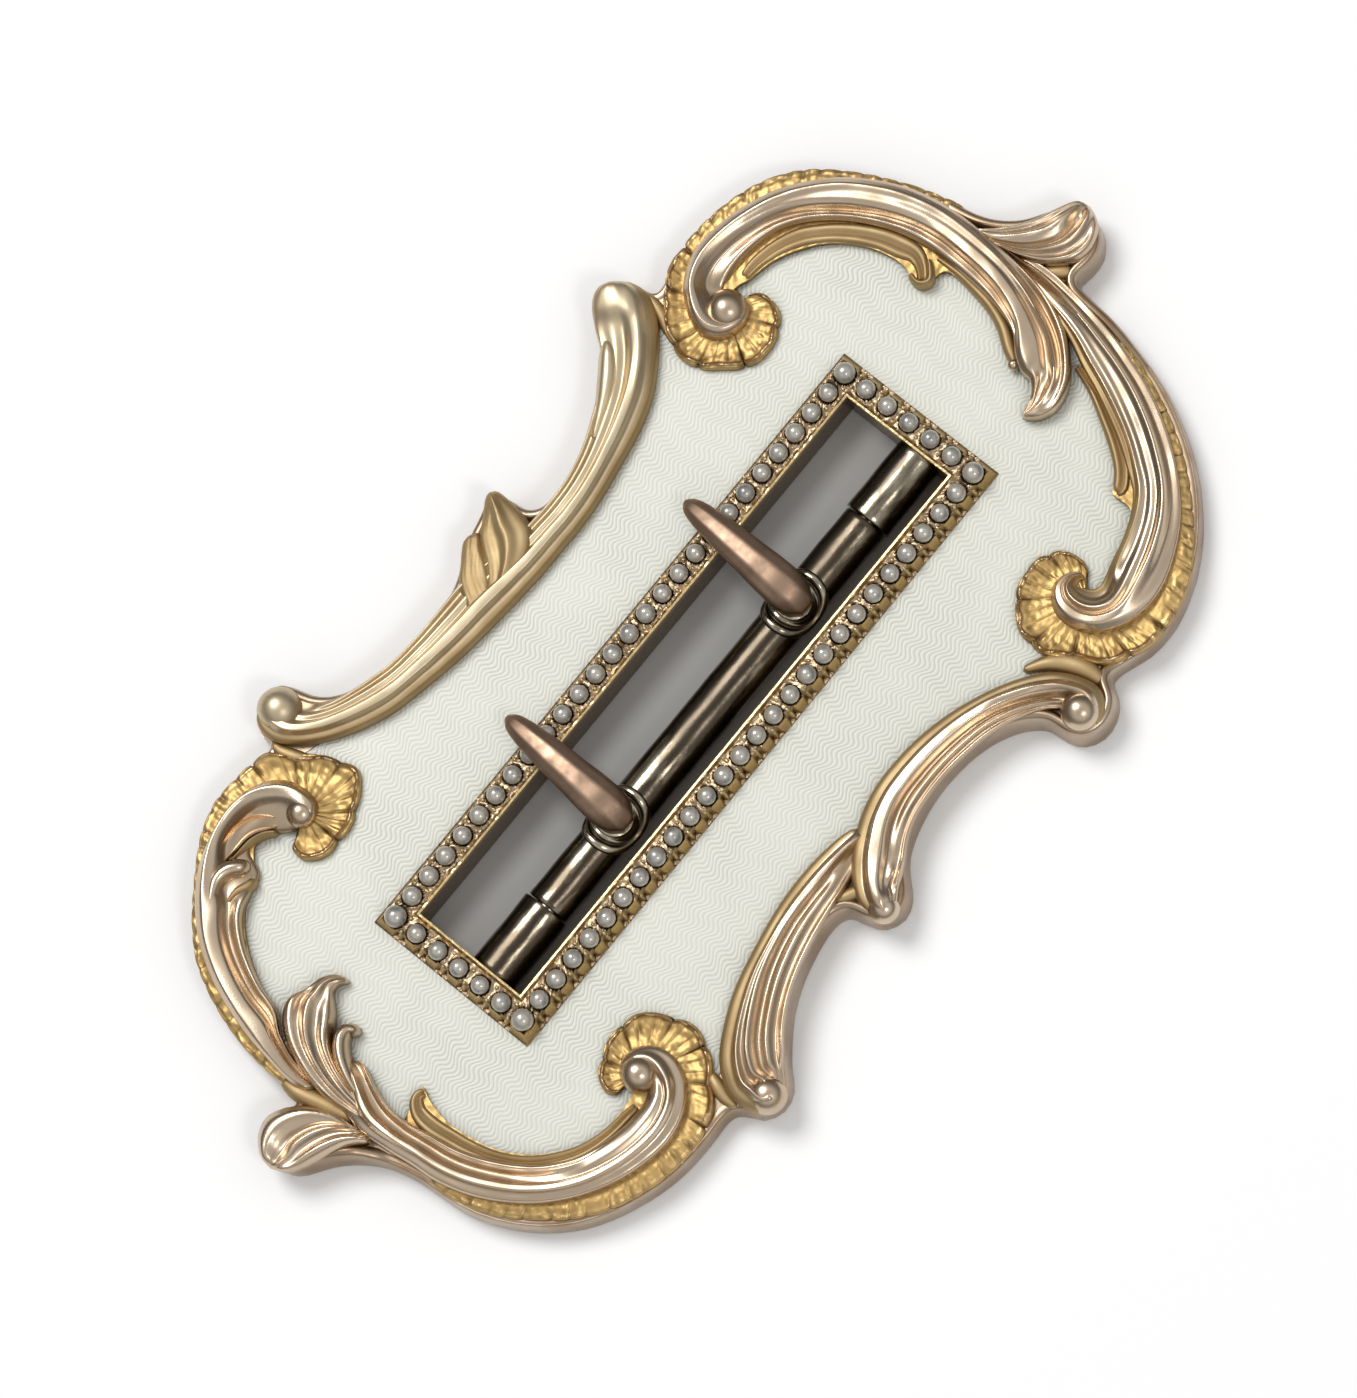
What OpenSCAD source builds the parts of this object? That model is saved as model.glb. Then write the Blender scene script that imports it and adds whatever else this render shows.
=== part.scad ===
// Belt buckle: gilt tray, engine-turned enamel panel, pearl-set frame round the strap slot,
// a turning bar with two claw prongs, and a border of cast gold scrolls, frills and leaves.
// Millimetres. The long axis is X, the prong tips point to +Y, and the back rim rests on Z = 0.

/* [Tray and panel] */
// Height of the tray's outer rim above the surface it rests on
rim_h = 2.4; // [2.2:0.1:2.6]
// Thickness of the curb under the plate, round the strap slot
curb_t = 0.8; // [0.6:0.1:1.0]
// Thickness of the tray's plate under the enamel
plate_t = 0.7; // [0.5:0.1:1.0]
// Thickness of the enamel panel
enamel_t = 0.4; // [0.3:0.05:0.5]
// How far the foot of the skirt flares out past its top
foot_flare = 0.2; // [0:0.05:0.25]

/* [Pearl frame] */
// Length of the strap slot inside the pearl frame
slot_l = 45; // [44:0.5:46]
// Width of the strap slot inside the pearl frame
slot_w = 8.8; // [8.6:0.1:9]
// Width of the strip that holds a row of pearls
strip_w = 1.95; // [1.9:0.05:2.1]
// Height of the strip's top above the back rim
strip_top = 3.6; // [3.5:0.05:3.7]
// How far the strip's outer wall leans out at its foot
strip_flare = 0.3; // [0:0.1:0.4]
// Thickness of the wall that lines the slot
lining_t = 0.5; // [0.4:0.1:0.7]
// Pearls in each long row, corners included
pearls_long = 28; // [26:1:28]
// Pearls in each short row, corners included
pearls_short = 7; // [5:1:7]
// Diameter of a seed pearl
pearl_d = 1.4; // [1.2:0.05:1.45]
// Diameter of a corner pearl
corner_pearl_d = 1.55; // [1.4:0.05:1.6]

/* [Bar and prongs] */
// Diameter of the turning bar
bar_d = 3.2; // [3:0.1:3.2]
// Diameter of the two end sleeves that hold the bar
sleeve_d = 3.5; // [3.4:0.1:3.6]
// Length of each sleeve
sleeve_l = 5.6; // [4.5:0.1:6]
// Diameter of the bar's journal inside a sleeve
journal_d = 1.9; // [1.6:0.1:2]
// Radial clearance of the journal in its sleeve
journal_gap = 0.05; // [0.03:0.01:0.08]
// Height of the bar's axis above the back rim
bar_z = 1.9; // [1.8:0.05:2]
// Diameter of the collar under each prong
collar_d = 4.8; // [4.4:0.1:4.8]
// Distance between the two prongs
prong_pitch = 18.8; // [16:0.1:20]

/* [Border] */
// Height of the polished scrolls' crests above the back rim
crest_top = 4.4; // [4.1:0.1:4.6]
// Thickness of the frilled underlay below the scrolls
frill_t = 0.42; // [0.35:0.01:0.44]
// Depth of the scallops along a frill's edge
frill_scallop = 0.1; // [0:0.05:0.2]
// Depth of the scallops round a shell's edge
shell_scallop = 0.35; // [0:0.05:0.4]

/* [Hidden] */

// Moves the drawing, whose zero is the middle of the slot, so that the origin is under the
// middle of the whole outline.
to_origin = [-0.5, 0.32, 0];

film = 0.04;                              // solder film between a cast piece and what it lies on
fit_gap = 0.05;                           // clearance round an inlaid piece
plate_top = rim_h - enamel_t;
plate_bottom = plate_top - plate_t;
base_z = rim_h + film;                    // underside of whatever lies on the tray and the enamel
scroll_z = base_z + frill_t + film;       // underside of the scrolls, which lie on the frills
strip_bottom = rim_h + film;
pearl_z = strip_top + 0.03;               // height of the pearls' centres
row_share = 0.62;                         // where a row of pearls runs on its strip, from the slot
seat_gap = 0.04;                          // clearance of a pearl in its seat
ledge = 0.5;                              // how far the hollow under the plate reaches past the panel
eye_r = 0.6;                              // radius of the eye that a shell fans out from
bar_y = -1.7;                             // the bar's axis, below the middle of the slot
end_play = 0.1;                           // gap between the bar's shoulder and a sleeve
seat_rise = 2.15;                         // top of a collar's seat above the bar's axis
ring_rise = 0.3;                          // rise of a collar's lower ring above the bar
ring_step = 0.47;                         // how far each ring and the seat step in
well_l = slot_l + 2 * lining_t + 2 * fit_gap;   // hole in the tray and the enamel for the frame
well_w = slot_w + 2 * lining_t + 2 * fit_gap;
rose = "#c79f88";
yellow = "#c8a25c";
copper = "#a9765d";
oxide = "#4a423c";
ivory = "#e3e6d8";
pearl = "#c9c9cd";

// One value or row between p1 and p2 of four neighbours, on a smooth curve through them.
function between(p0, p1, p2, p3, t) =
    0.5 * (2 * p1 + (p2 - p0) * t + (2 * p0 - 5 * p1 + 4 * p2 - p3) * t * t
           + (3 * p1 - p0 - 3 * p2 + p3) * t * t * t);

// Rows of an open table with n steps between each pair of rows.
function smooth_rows(rows, n) =
    let (last = len(rows) - 1)
    concat([for (i = [0 : last - 1], k = [0 : n - 1])
                between(rows[max(i - 1, 0)], rows[i], rows[i + 1], rows[min(i + 2, last)], k / n)],
           [rows[last]]);

// Points of a closed outline with n steps between each pair of points.
function smooth_loop(pts, n) =
    let (c = len(pts))
    [for (i = [0 : c - 1], k = [0 : n - 1])
        between(pts[(i + c - 1) % c], pts[i], pts[(i + 1) % c], pts[(i + 2) % c], k / n)];

function unit(v) = v / norm(v);

// A clockwise closed outline moved outwards by d along its normals.
function grown(pts, d) =
    let (c = len(pts))
    [for (i = [0 : c - 1])
        let (t = unit(pts[(i + 1) % c] - pts[(i + c - 1) % c]))
        pts[i] + d * [-t[1], t[0]]];

// Rows of a shell that fans out round an eye, from its outer points.
function fan_rows(eye, r, outers) =
    [for (p = outers) let (q = eye + r * unit(p - eye)) [p[0], p[1], q[0], q[1]]];

// Faces of a closed tube of rings of points, turned inside out where flipped is true.
function tube_faces(rings, ring, flipped) =
    let (last = (rings - 1) * ring,
         sides = [for (i = [0 : rings - 2], k = [0 : ring - 1])
             let (a = i * ring + k, b = i * ring + (k + 1) % ring)
             each [[a, b, b + ring], [a, b + ring, a + ring]]],
         caps = [for (k = [1 : ring - 2]) each
             [[0, k + 1, k], [last, last + k, last + k + 1]]])
    [for (f = concat(sides, caps)) flipped ? [f[0], f[2], f[1]] : f];

// Less than zero where the inner rail lies to the right of the outer one.
function turn(rows) =
    let (parts = [for (i = [1 : len(rows) - 1])
        let (step = rows[i] - rows[i - 1], w = [rows[i][2] - rows[i][0], rows[i][3] - rows[i][1]])
        step[0] * w[1] - step[1] * w[0]])
    parts * [for (p = parts) 1];

// Solid that spans two rails. Each row is [outer x, outer y, inner x, inner y, top z, bottom z].
// The profile is a list of [share of the way across, share of the height].
module two_rail(rows, profile) {
    ring = len(profile) + 2;
    last = len(rows) - 1;
    function across(r, t) = [r[0] + (r[2] - r[0]) * t, r[1] + (r[3] - r[1]) * t];
    points = [for (r = rows) each concat(
        [[r[0], r[1], r[5]]],
        [for (p = profile) concat(across(r, p[0]), r[5] + (r[4] - r[5]) * p[1])],
        [[r[2], r[3], r[5]]])];
    polyhedron(points, tube_faces(len(rows), ring, turn(rows) < 0), convexity = 8);
}

// Profiles across a piece, from its outer rail to its inner rail.
scroll_profile = [[0.03, 0.3], [0.14, 0.8], [0.32, 1], [0.5, 0.88], [0.68, 0.5], [0.86, 0.62], [0.97, 0.3]];
side_profile = [[0.02, 0.3], [0.12, 0.72], [0.3, 0.7], [0.5, 1], [0.68, 0.9], [0.84, 0.45], [0.98, 0.25]];
leaf_profile = [[0.03, 0.45], [0.2, 0.9], [0.45, 0.75], [0.7, 1], [0.97, 0.4]];
frill_profile = [[0.01, 0.7], [0.08, 1], [0.92, 1], [0.99, 0.5]];

// Outline of the tray's rim, clockwise from the left leaf tip.
tray_outline = [
    [-41.2, 1.6], [-40.6, 2.9], [-39.4, 3.2], [-38, 2.7], [-37, 3.2],
    [-36.9, 6], [-36.6, 8.8], [-35.8, 11.4], [-34.8, 13.5], [-32.9, 16], [-31, 17.6], [-29, 18.9],
    [-26.9, 20], [-24.8, 20.4], [-22.4, 20.2], [-20.3, 19.9], [-19.6, 20.2],
    [-19.7, 21.3], [-18.9, 22.2], [-17.6, 22.5], [-16.4, 22], [-16, 20.8], [-15.6, 19.6],
    [-14.4, 18.4], [-12.6, 17.6], [-10.2, 17], [-7.6, 16.8], [-5, 16.9], [-3.2, 17.4], [-1.6, 18.2],
    [-0.4, 18.6], [1, 18.9], [2.3, 19.3], [2.9, 18.3], [3, 16.9], [3.8, 16], [5.8, 15.8], [8.2, 16.3],
    [10.8, 17.2], [13, 18.3], [14.7, 19.6], [15.8, 21.1], [16.9, 22.3], [18.2, 22.6], [19.3, 21.9],
    [19.8, 20.7], [20, 19.5], [21.2, 19.5], [23, 20], [25.3, 20], [27.8, 19.7],
    [30, 18.9], [31.9, 17.8], [33.5, 16.3], [34.9, 14.2], [35.9, 12.2], [36.8, 10], [37.4, 7.8],
    [37.7, 5.8], [38.3, 4.3], [39.4, 2.9], [40.8, 2], [42, 1], [42.5, -0.2], [42.1, -1.4],
    [41, -2.3], [39.6, -2.4], [38.3, -2.2], [37.9, -3.6], [37.7, -6], [37.1, -8.8], [36.2, -11.6],
    [34.9, -14.2], [33.3, -16.6], [31.4, -18.6], [29.2, -20.3], [26.8, -21.5], [24.2, -22.2],
    [21.8, -22.1], [19.9, -21.4], [18.5, -21.2], [17.9, -22.4], [16.8, -23.1], [15.5, -23.2],
    [14.4, -22.6], [13.9, -21.5], [13.9, -20.2], [12.9, -18.9], [11.4, -17.9], [9.4, -17.2],
    [7, -16.9], [4.6, -17], [2.4, -17.5], [0.8, -18.2], [-0.3, -19.2], [-1.1, -20.1], [-2.3, -20.5],
    [-3.5, -20], [-4, -18.9], [-4.3, -17.6], [-5.6, -17.1], [-7.6, -17.3], [-10, -17.9],
    [-12.2, -18.9], [-13.9, -20.1], [-15.1, -21.1], [-16, -22.1], [-17.3, -22.4], [-18.5, -21.8],
    [-19, -20.6], [-19.9, -19.9], [-21.9, -20], [-24.6, -19.9], [-27.2, -19.3], [-29.8, -18.2], [-31.8, -16.9],
    [-33.6, -15], [-35, -12.6], [-35.8, -10], [-36, -7], [-36.6, -4.4], [-37.8, -2.4], [-39.2, -1],
    [-40.6, -0.1], [-41.2, 0.7]];

// Outline of the enamel panel, clockwise from the left end. Its edge is hidden by the border.
enamel_outline = [
    [-34.6, 0], [-34.8, 4], [-34.5, 8], [-33.3, 12], [-31, 15.2], [-28, 17.3], [-25, 18.2], [-21, 18.4],
    [-18.5, 17.8], [-16, 16.9], [-12, 15.7], [-8, 14.9], [-4, 14.4], [0, 14.2], [4, 14.1], [8, 14.5],
    [12, 15.3], [16, 16.9], [18.5, 17.8], [21, 17.9], [24, 17.8], [28, 16.6], [31, 14.6], [33.3, 11.5],
    [34.6, 8], [35.2, 4], [35.2, 0], [34.9, -4], [34.4, -8], [33, -12], [30.5, -15.5], [27.5, -17.6],
    [24, -18.9], [21, -19.2], [18, -18.5], [15, -17.2], [11, -15.8], [7, -15], [2, -14.7], [-3, -14.6],
    [-8, -14.9], [-12, -15.8], [-16, -17.4], [-18.6, -18.1], [-21, -18.2], [-24, -17.6], [-27, -16.8],
    [-30, -14.9], [-32.6, -11.5], [-34, -8], [-34.6, -4]];

// Tables of the border. A frill's row is [outer x, outer y, inner x, inner y], and a shell ends it.
frill_top_left_rows = [
    [-37, 3.4, -36.4, 3.5], [-37.1, 5.8, -35.8, 6.1], [-36.9, 8, -33.6, 8.4], [-36.4, 10.2, -32.9, 10],
    [-35.6, 12.4, -31.9, 11.8], [-34.4, 14.6, -30.6, 13.4], [-32.6, 16.5, -29.2, 14.4],
    [-30.8, 17.9, -27.6, 14.9], [-28.9, 19.2, -26.9, 15.7], [-27.2, 20.1, -26, 16.4],
    [-25.2, 20.6, -24.8, 16.4], [-23, 20.5, -23.4, 16]];
frill_top_left_shell = [[-20.9, 20.1], [-20, 19.1], [-18.9, 17.6], [-18, 16.1], [-17.6, 14.4],
    [-18.7, 13.2], [-20.2, 12.4], [-21.8, 12.1], [-23.4, 12.2], [-24.6, 13.2], [-24.7, 14.3]];
frill_top_left_eye = [-22.2, 15.2];

frill_top_right_rows = [
    [35.2, -0.8, 33, -0.4], [35.6, 1.2, 33.2, 1.2], [36, 3.2, 33.5, 3], [36.9, 5.2, 33.4, 4.9],
    [37.7, 6.9, 31.5, 5.5], [37.4, 8.4, 32, 7.4], [36.9, 10.2, 31.8, 9.2], [36, 12.4, 31.1, 11],
    [35, 14.4, 29.8, 12.7], [33.6, 16.5, 28.2, 13.9], [31.9, 18.1, 26.8, 14.6],
    [29.9, 19.2, 25.6, 14.9], [27.6, 19.9, 24.7, 15.1], [25.2, 20.2, 23.9, 15.4]];
frill_top_right_shell = [[22.8, 20.1], [21, 19.5], [19.7, 18.4], [18.4, 17.2], [17.8, 15.6],
    [17.9, 13.9], [18.9, 12.6], [20, 11.3], [21.4, 10.9], [23.2, 11.1], [24.4, 12.1], [24.7, 13.5],
    [24.3, 14.3]];
frill_top_right_eye = [22.2, 14.9];

frill_bottom_left_rows = [
    [-34.2, -3.6, -31.3, -3.1], [-34.7, -4.6, -31.8, -4.3], [-35.3, -6, -32.1, -6],
    [-35.9, -8, -31.9, -7.9], [-35.7, -10, -31.4, -9.8], [-34.9, -12.4, -30.2, -11.8],
    [-33.5, -14.6, -28.6, -13.3], [-31.8, -16.6, -27.2, -14.1], [-29.8, -18.1, -25.8, -14.5],
    [-27.4, -19.2, -24.8, -14.6], [-25, -19.8, -23.8, -14.6], [-22.6, -19.9, -22.6, -14.4]];
frill_bottom_left_shell = [[-20.6, -19.4], [-18.9, -18.1], [-17.4, -16.5], [-16.8, -14.6],
    [-17.5, -12.5], [-18.9, -11], [-21, -10.8], [-23, -11.5], [-23.9, -12.8], [-23.7, -13.6]];
frill_bottom_left_eye = [-21.6, -13.9];

frill_bottom_right_rows = [
    [38, 0.6, 36.9, 0.8], [38, -2, 36.3, -1.8], [37.9, -4.4, 35.6, -4.2], [37.4, -6.8, 34.4, -6.6],
    [36.7, -9.2, 32.9, -8.4], [35.8, -11.6, 32, -10.4], [34.6, -14, 30.9, -12.2],
    [33.1, -16.2, 29.9, -13.2], [31.3, -18.2, 28.5, -13.7], [29.2, -20.1, 28.3, -15.4],
    [27, -21.5, 26.6, -16.6], [24.6, -22.2, 24.8, -17]];
frill_bottom_right_shell = [[22.4, -22.3], [20.3, -21.6], [19, -20.5], [18.3, -19.2], [17.4, -17.7],
    [17, -16.4], [17.2, -15], [17.9, -14], [19.1, -12.9], [20.6, -12.6], [22.1, -12.6], [23.3, -13.5],
    [23.7, -14.8], [23.6, -15.6]];
frill_bottom_right_eye = [21.8, -16.8];

// A scroll's row is [outer x, outer y, inner x, inner y, crest z, underside z].
scroll_top_left_rows = [
    [-36.9, 3.7, -36.4, 3.7, 3.3, scroll_z], [-36.8, 5.6, -35.8, 5.7, 3.8, scroll_z],
    [-36.6, 7.6, -34.7, 8, 4.1, scroll_z], [-36.1, 9.8, -33.3, 9.4, crest_top, scroll_z],
    [-35.2, 12.2, -32.2, 11.5, crest_top, scroll_z], [-33.9, 14.5, -31, 13.1, crest_top, scroll_z],
    [-32.2, 16.3, -29.6, 14.4, crest_top, scroll_z], [-30.4, 17.7, -28, 15, crest_top, scroll_z],
    [-28.6, 18.6, -27.1, 15.6, crest_top, scroll_z], [-27, 19.2, -26.5, 16.5, crest_top, scroll_z],
    [-25.3, 19.4, -25.4, 16.8, crest_top, scroll_z], [-23.5, 19.2, -24.4, 16.6, crest_top, scroll_z],
    [-21.8, 18.5, -23.7, 16.2, crest_top, scroll_z], [-20.6, 17.3, -23.4, 15.8, crest_top, scroll_z],
    [-20.4, 15.8, -23.3, 15.5, 4.2, scroll_z], [-21.1, 14.6, -23.3, 15.2, 3.9, scroll_z],
    [-22.3, 14.3, -23.4, 15, 3.4, scroll_z]];

scroll_top_right_rows = [
    [28.8, -5.9, 28.7, -5.5, 3.2, base_z], [29.5, -7, 29.7, -5.4, 3.7, base_z],
    [30.9, -7.6, 30.5, -4.9, 4, base_z], [32.4, -7.3, 31.3, -4.4, 4.2, base_z],
    [33.7, -6.3, 31.4, -3.6, 4.2, base_z], [34.8, -4.7, 31.9, -2.7, 4.2, base_z],
    [35.5, -2.8, 32.9, -1.6, 4.3, scroll_z], [35.9, -0.6, 33.4, 0.2, crest_top, scroll_z],
    [36.2, 1.7, 33.8, 2.2, crest_top, scroll_z], [36.6, 4, 34, 4.4, crest_top, scroll_z],
    [36.6, 6.6, 33.9, 6.4, crest_top, scroll_z], [36.3, 9.2, 33.4, 8.6, crest_top, scroll_z],
    [35.3, 11.8, 32.6, 10.6, crest_top, scroll_z], [33.9, 14, 31.3, 12.8, crest_top, scroll_z],
    [32, 16.1, 29.8, 14.5, crest_top, scroll_z], [29.8, 17.7, 28.2, 15.5, crest_top, scroll_z],
    [27.4, 18.7, 26.5, 16.1, crest_top, scroll_z], [25, 19.1, 24.9, 16.3, crest_top, scroll_z],
    [22.8, 18.9, 23.6, 16.2, crest_top, scroll_z], [21.1, 18, 22.8, 15.9, 4.3, scroll_z],
    [20.1, 16.5, 22.3, 15.5, 4.1, scroll_z], [20, 15, 22, 15, 3.9, scroll_z],
    [20.7, 13.8, 22, 14.6, 3.6, scroll_z], [21.8, 13.3, 22.2, 14.4, 3.3, scroll_z]];

scroll_bottom_left_rows = [
    [-28.9, 5.7, -28.9, 5.2, 3.2, base_z], [-30.2, 6.8, -29.6, 5, 3.7, base_z],
    [-31.8, 7.6, -30.3, 4.8, 4, base_z], [-33.5, 7.4, -30.9, 4.4, 4.2, base_z],
    [-34.8, 6, -31.1, 3.6, 4.2, base_z], [-35.5, 4.2, -31.3, 2.5, 4.2, base_z],
    [-35.9, 2.3, -32.3, 1.3, 4.3, base_z], [-36.2, 0, -33.2, -0.6, crest_top, base_z],
    [-36.2, -2.6, -33.7, -2.8, crest_top, scroll_z], [-36.1, -5, -33.7, -5, crest_top, scroll_z],
    [-35.8, -7.6, -33.4, -7.4, crest_top, scroll_z], [-35.1, -10.2, -32.7, -9.8, crest_top, scroll_z],
    [-34, -12.8, -31.6, -11.9, crest_top, scroll_z], [-32.3, -15.2, -30, -13.7, crest_top, scroll_z],
    [-30.2, -17, -28.2, -14.9, crest_top, scroll_z], [-27.8, -18.1, -26.3, -15.6, crest_top, scroll_z],
    [-25.2, -18.6, -24.6, -15.8, crest_top, scroll_z], [-22.8, -18.5, -23.1, -15.6, crest_top, scroll_z],
    [-20.9, -17.8, -22, -15.2, 4.3, scroll_z], [-19.7, -16.3, -21.5, -14.8, 4.1, scroll_z],
    [-19.5, -14.7, -21.3, -14.3, 3.9, scroll_z], [-20.1, -13.3, -21.4, -13.9, 3.6, scroll_z],
    [-21.2, -12.6, -21.6, -13.7, 3.3, scroll_z]];

scroll_bottom_right_rows = [
    [37.3, 3, 36.9, 3, 3.3, base_z], [37.5, 1, 36.7, 1, 3.8, scroll_z],
    [37.8, -1.6, 36.3, -1.4, 4.1, scroll_z], [37.6, -4, 35.7, -3.8, 4.3, scroll_z],
    [37.2, -6.4, 34.7, -6.2, crest_top, scroll_z], [36.5, -8.8, 33.8, -8.2, crest_top, scroll_z],
    [35.6, -11.2, 32.9, -10.2, crest_top, scroll_z], [34.3, -13.6, 31.8, -12.3, crest_top, scroll_z],
    [32.7, -15.7, 30.5, -14.2, crest_top, scroll_z], [30.7, -17.6, 29, -15.5, crest_top, scroll_z],
    [28.4, -19.1, 27.2, -16.3, crest_top, scroll_z], [26, -20.2, 25.4, -16.8, crest_top, scroll_z],
    [23.6, -20.7, 24, -17.1, crest_top, scroll_z], [21.4, -20.4, 23.1, -17.3, crest_top, scroll_z],
    [19.8, -19.2, 22.6, -17.3, crest_top, scroll_z], [19.2, -17.5, 22.3, -17, 4.3, scroll_z],
    [19.6, -15.8, 22.3, -16.6, 4.1, scroll_z], [20.8, -14.8, 22.6, -16.2, 3.8, scroll_z],
    [22.2, -14.9, 22.9, -15.9, 3.3, scroll_z]];

// The leaf tips that point outwards, from the border to the tip.
leaf_tip_left_rows = [
    [-37.1, 2.6, -36.6, -4.2, 3.9, base_z], [-38.1, 3, -37.4, -2.9, 4, base_z],
    [-39.2, 3.7, -38.4, -1.7, 4.1, base_z], [-40.4, 3.8, -39.7, -0.8, 4.1, base_z],
    [-41.4, 3.3, -40.9, -0.3, 4, base_z], [-42, 2.6, -41.8, 0.4, 3.7, base_z],
    [-42.3, 1.9, -42.2, 1.1, 3.3, base_z]];
leaf_tip_right_rows = [
    [37.8, 5.2, 38.4, -1.5, 3.9, base_z], [38.7, 3.8, 38.9, -2.2, 4, base_z],
    [39.8, 2.7, 39.9, -2.7, 4.1, base_z], [41.1, 1.9, 41.2, -2.6, 4.1, base_z],
    [42.2, 1.1, 42.3, -1.9, 4, base_z], [43, 0.4, 43, -1, 3.7, base_z],
    [43.3, 0, 43.3, -0.5, 3.3, base_z]];

// The side scrolls, from left to right. The outer rail is the free edge.
side_scroll_top_rows = [
    [-17.6, 22.6, -18.4, 22.5, 3, base_z], [-16.5, 22.1, -19.4, 21.8, 3.8, base_z],
    [-16, 21, -19.8, 20.8, 4.1, base_z], [-15.8, 19.8, -19.5, 19.5, 4.2, base_z],
    [-14.6, 18.6, -18.3, 18, 4.2, base_z], [-12.8, 17.8, -16.4, 16.5, 4.2, base_z],
    [-10.5, 17.2, -13.6, 15.1, 4.2, base_z], [-8, 17, -10.4, 14.3, 4.2, base_z],
    [-5.5, 17, -7, 13.7, 4.2, base_z], [-3.5, 17.4, -4, 13.4, 4.2, base_z],
    [-2, 18.1, -2, 13.2, 4.3, base_z], [-0.7, 18.7, -0.4, 13.1, 4.4, base_z],
    [0.9, 18.9, 1, 13.1, 4.4, base_z], [2.4, 19.6, 2.2, 13.1, 4.3, base_z],
    [3, 18.2, 2.9, 13.1, 4.3, base_z], [3.2, 16.6, 3.6, 13.1, 4.2, base_z],
    [4.4, 15.9, 4.8, 13.1, 4.2, base_z], [6.4, 16, 7, 13.3, 4.2, base_z],
    [8.6, 16.5, 9.4, 13.7, 4.2, base_z], [10.8, 17.4, 12, 14.2, 4.2, base_z],
    [12.9, 18.5, 14.4, 15, 4.2, base_z], [14.6, 19.8, 16.4, 16.2, 4.2, base_z],
    [15.7, 21.1, 18, 17.4, 4.3, base_z], [16.6, 22.1, 19.2, 18.7, 4.3, base_z],
    [17.4, 22.6, 19.8, 20, 4.1, base_z], [18.1, 22.7, 19.7, 21.2, 3.6, base_z],
    [18.6, 22.6, 19.3, 22, 3, base_z]];

side_scroll_bottom_rows = [
    [-16.8, -22.5, -17.7, -22.5, 3, base_z], [-15.9, -21.9, -18.7, -21.7, 3.8, base_z],
    [-15.2, -21.2, -19, -20.4, 4.1, base_z], [-14.3, -20.5, -18.8, -19.2, 4.2, base_z],
    [-13, -19.5, -17.6, -17.6, 4.2, base_z], [-11.2, -18.5, -15.6, -16.3, 4.2, base_z],
    [-9.2, -17.8, -13, -15.2, 4.2, base_z], [-7, -17.3, -10, -14.5, 4.2, base_z],
    [-5.2, -17.1, -6.8, -14, 4.2, base_z], [-4.2, -17.7, -4.6, -13.8, 4.2, base_z],
    [-4, -19, -3.6, -13.8, 4.2, base_z], [-3.4, -20.2, -2.9, -13.8, 4.2, base_z],
    [-2.3, -20.6, -2.2, -13.8, 4.2, base_z], [-1.2, -20.2, -1.4, -13.8, 4.2, base_z],
    [-0.3, -19, -0.4, -13.8, 4.2, base_z], [1.4, -17.9, 1.4, -13.8, 4.2, base_z],
    [3.6, -17.2, 4, -13.9, 4.2, base_z], [6, -17, 6.8, -14.1, 4.2, base_z],
    [8.4, -17.1, 9.4, -14.5, 4.2, base_z], [10.6, -17.6, 12, -15.1, 4.2, base_z],
    [12.4, -18.5, 14.4, -16, 4.2, base_z], [13.7, -19.5, 16.2, -17.1, 4.2, base_z],
    [14.6, -20.2, 17.3, -18.6, 4.1, base_z], [15.2, -20.7, 17.9, -20, 4, base_z],
    [15.6, -21, 17.9, -21.4, 3.9, base_z], [15.8, -21.4, 17.2, -22.7, 3.8, base_z],
    [15.7, -21.7, 15.8, -23.3, 3.6, base_z], [15.4, -21.7, 14.4, -22.7, 3.3, base_z]];

// Polished balls at the ends of scrolls: [x, y, radius, height of the top].
ball_top_right = [22.3, 14.8, 1.2, 4.5];
ball_bottom_left = [-21.5, -13.8, 1.1, 4.5];
ball_side_top = [-17.4, 21.1, 1.1, 4.5];
ball_side_bottom = [15.8, -21.4, 1.3, 4.4];

// The claw, from its root to its tip: [y, z, width, thickness, tilt], with y from the bar's axis.
// Tilt is 0 where the claw points up and 90 where it points along Y.
claw_rows = [
    [0, 4.09, 2.5, 2.4, 0], [0, 4.38, 2.75, 2.42, 6], [0.18, 4.7, 2.9, 2.3, 16], [0.7, 5.08, 3, 2.05, 31],
    [1.5, 5.3, 2.95, 1.65, 53], [2.4, 5.38, 2.85, 1.4, 74], [3.8, 5.42, 2.6, 1.3, 88],
    [5.8, 5.35, 2.35, 1.15, 95], [7.3, 5.12, 2.05, 1.05, 100], [8.5, 4.85, 1.75, 0.95, 105],
    [9.4, 4.55, 1.3, 0.8, 111], [9.9, 4.3, 0.6, 0.4, 117]];
claw_lean = 0.05;                         // how far a claw leans to +X for each millimetre along Y
claw_offset = 0.2;                        // how far both claws' roots sit to +X of their collars

// Plate outline between two heights.
module slab(pts, z0, z1) {
    translate([0, 0, z0]) linear_extrude(z1 - z0) polygon(pts);
}

// A block of the given length and width whose centre is on the Z axis, from z0 to z1.
module block(l, w, z0, z1) {
    translate([-l / 2, -w / 2, z0]) cube([l, w, z1 - z0]);
}

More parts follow.
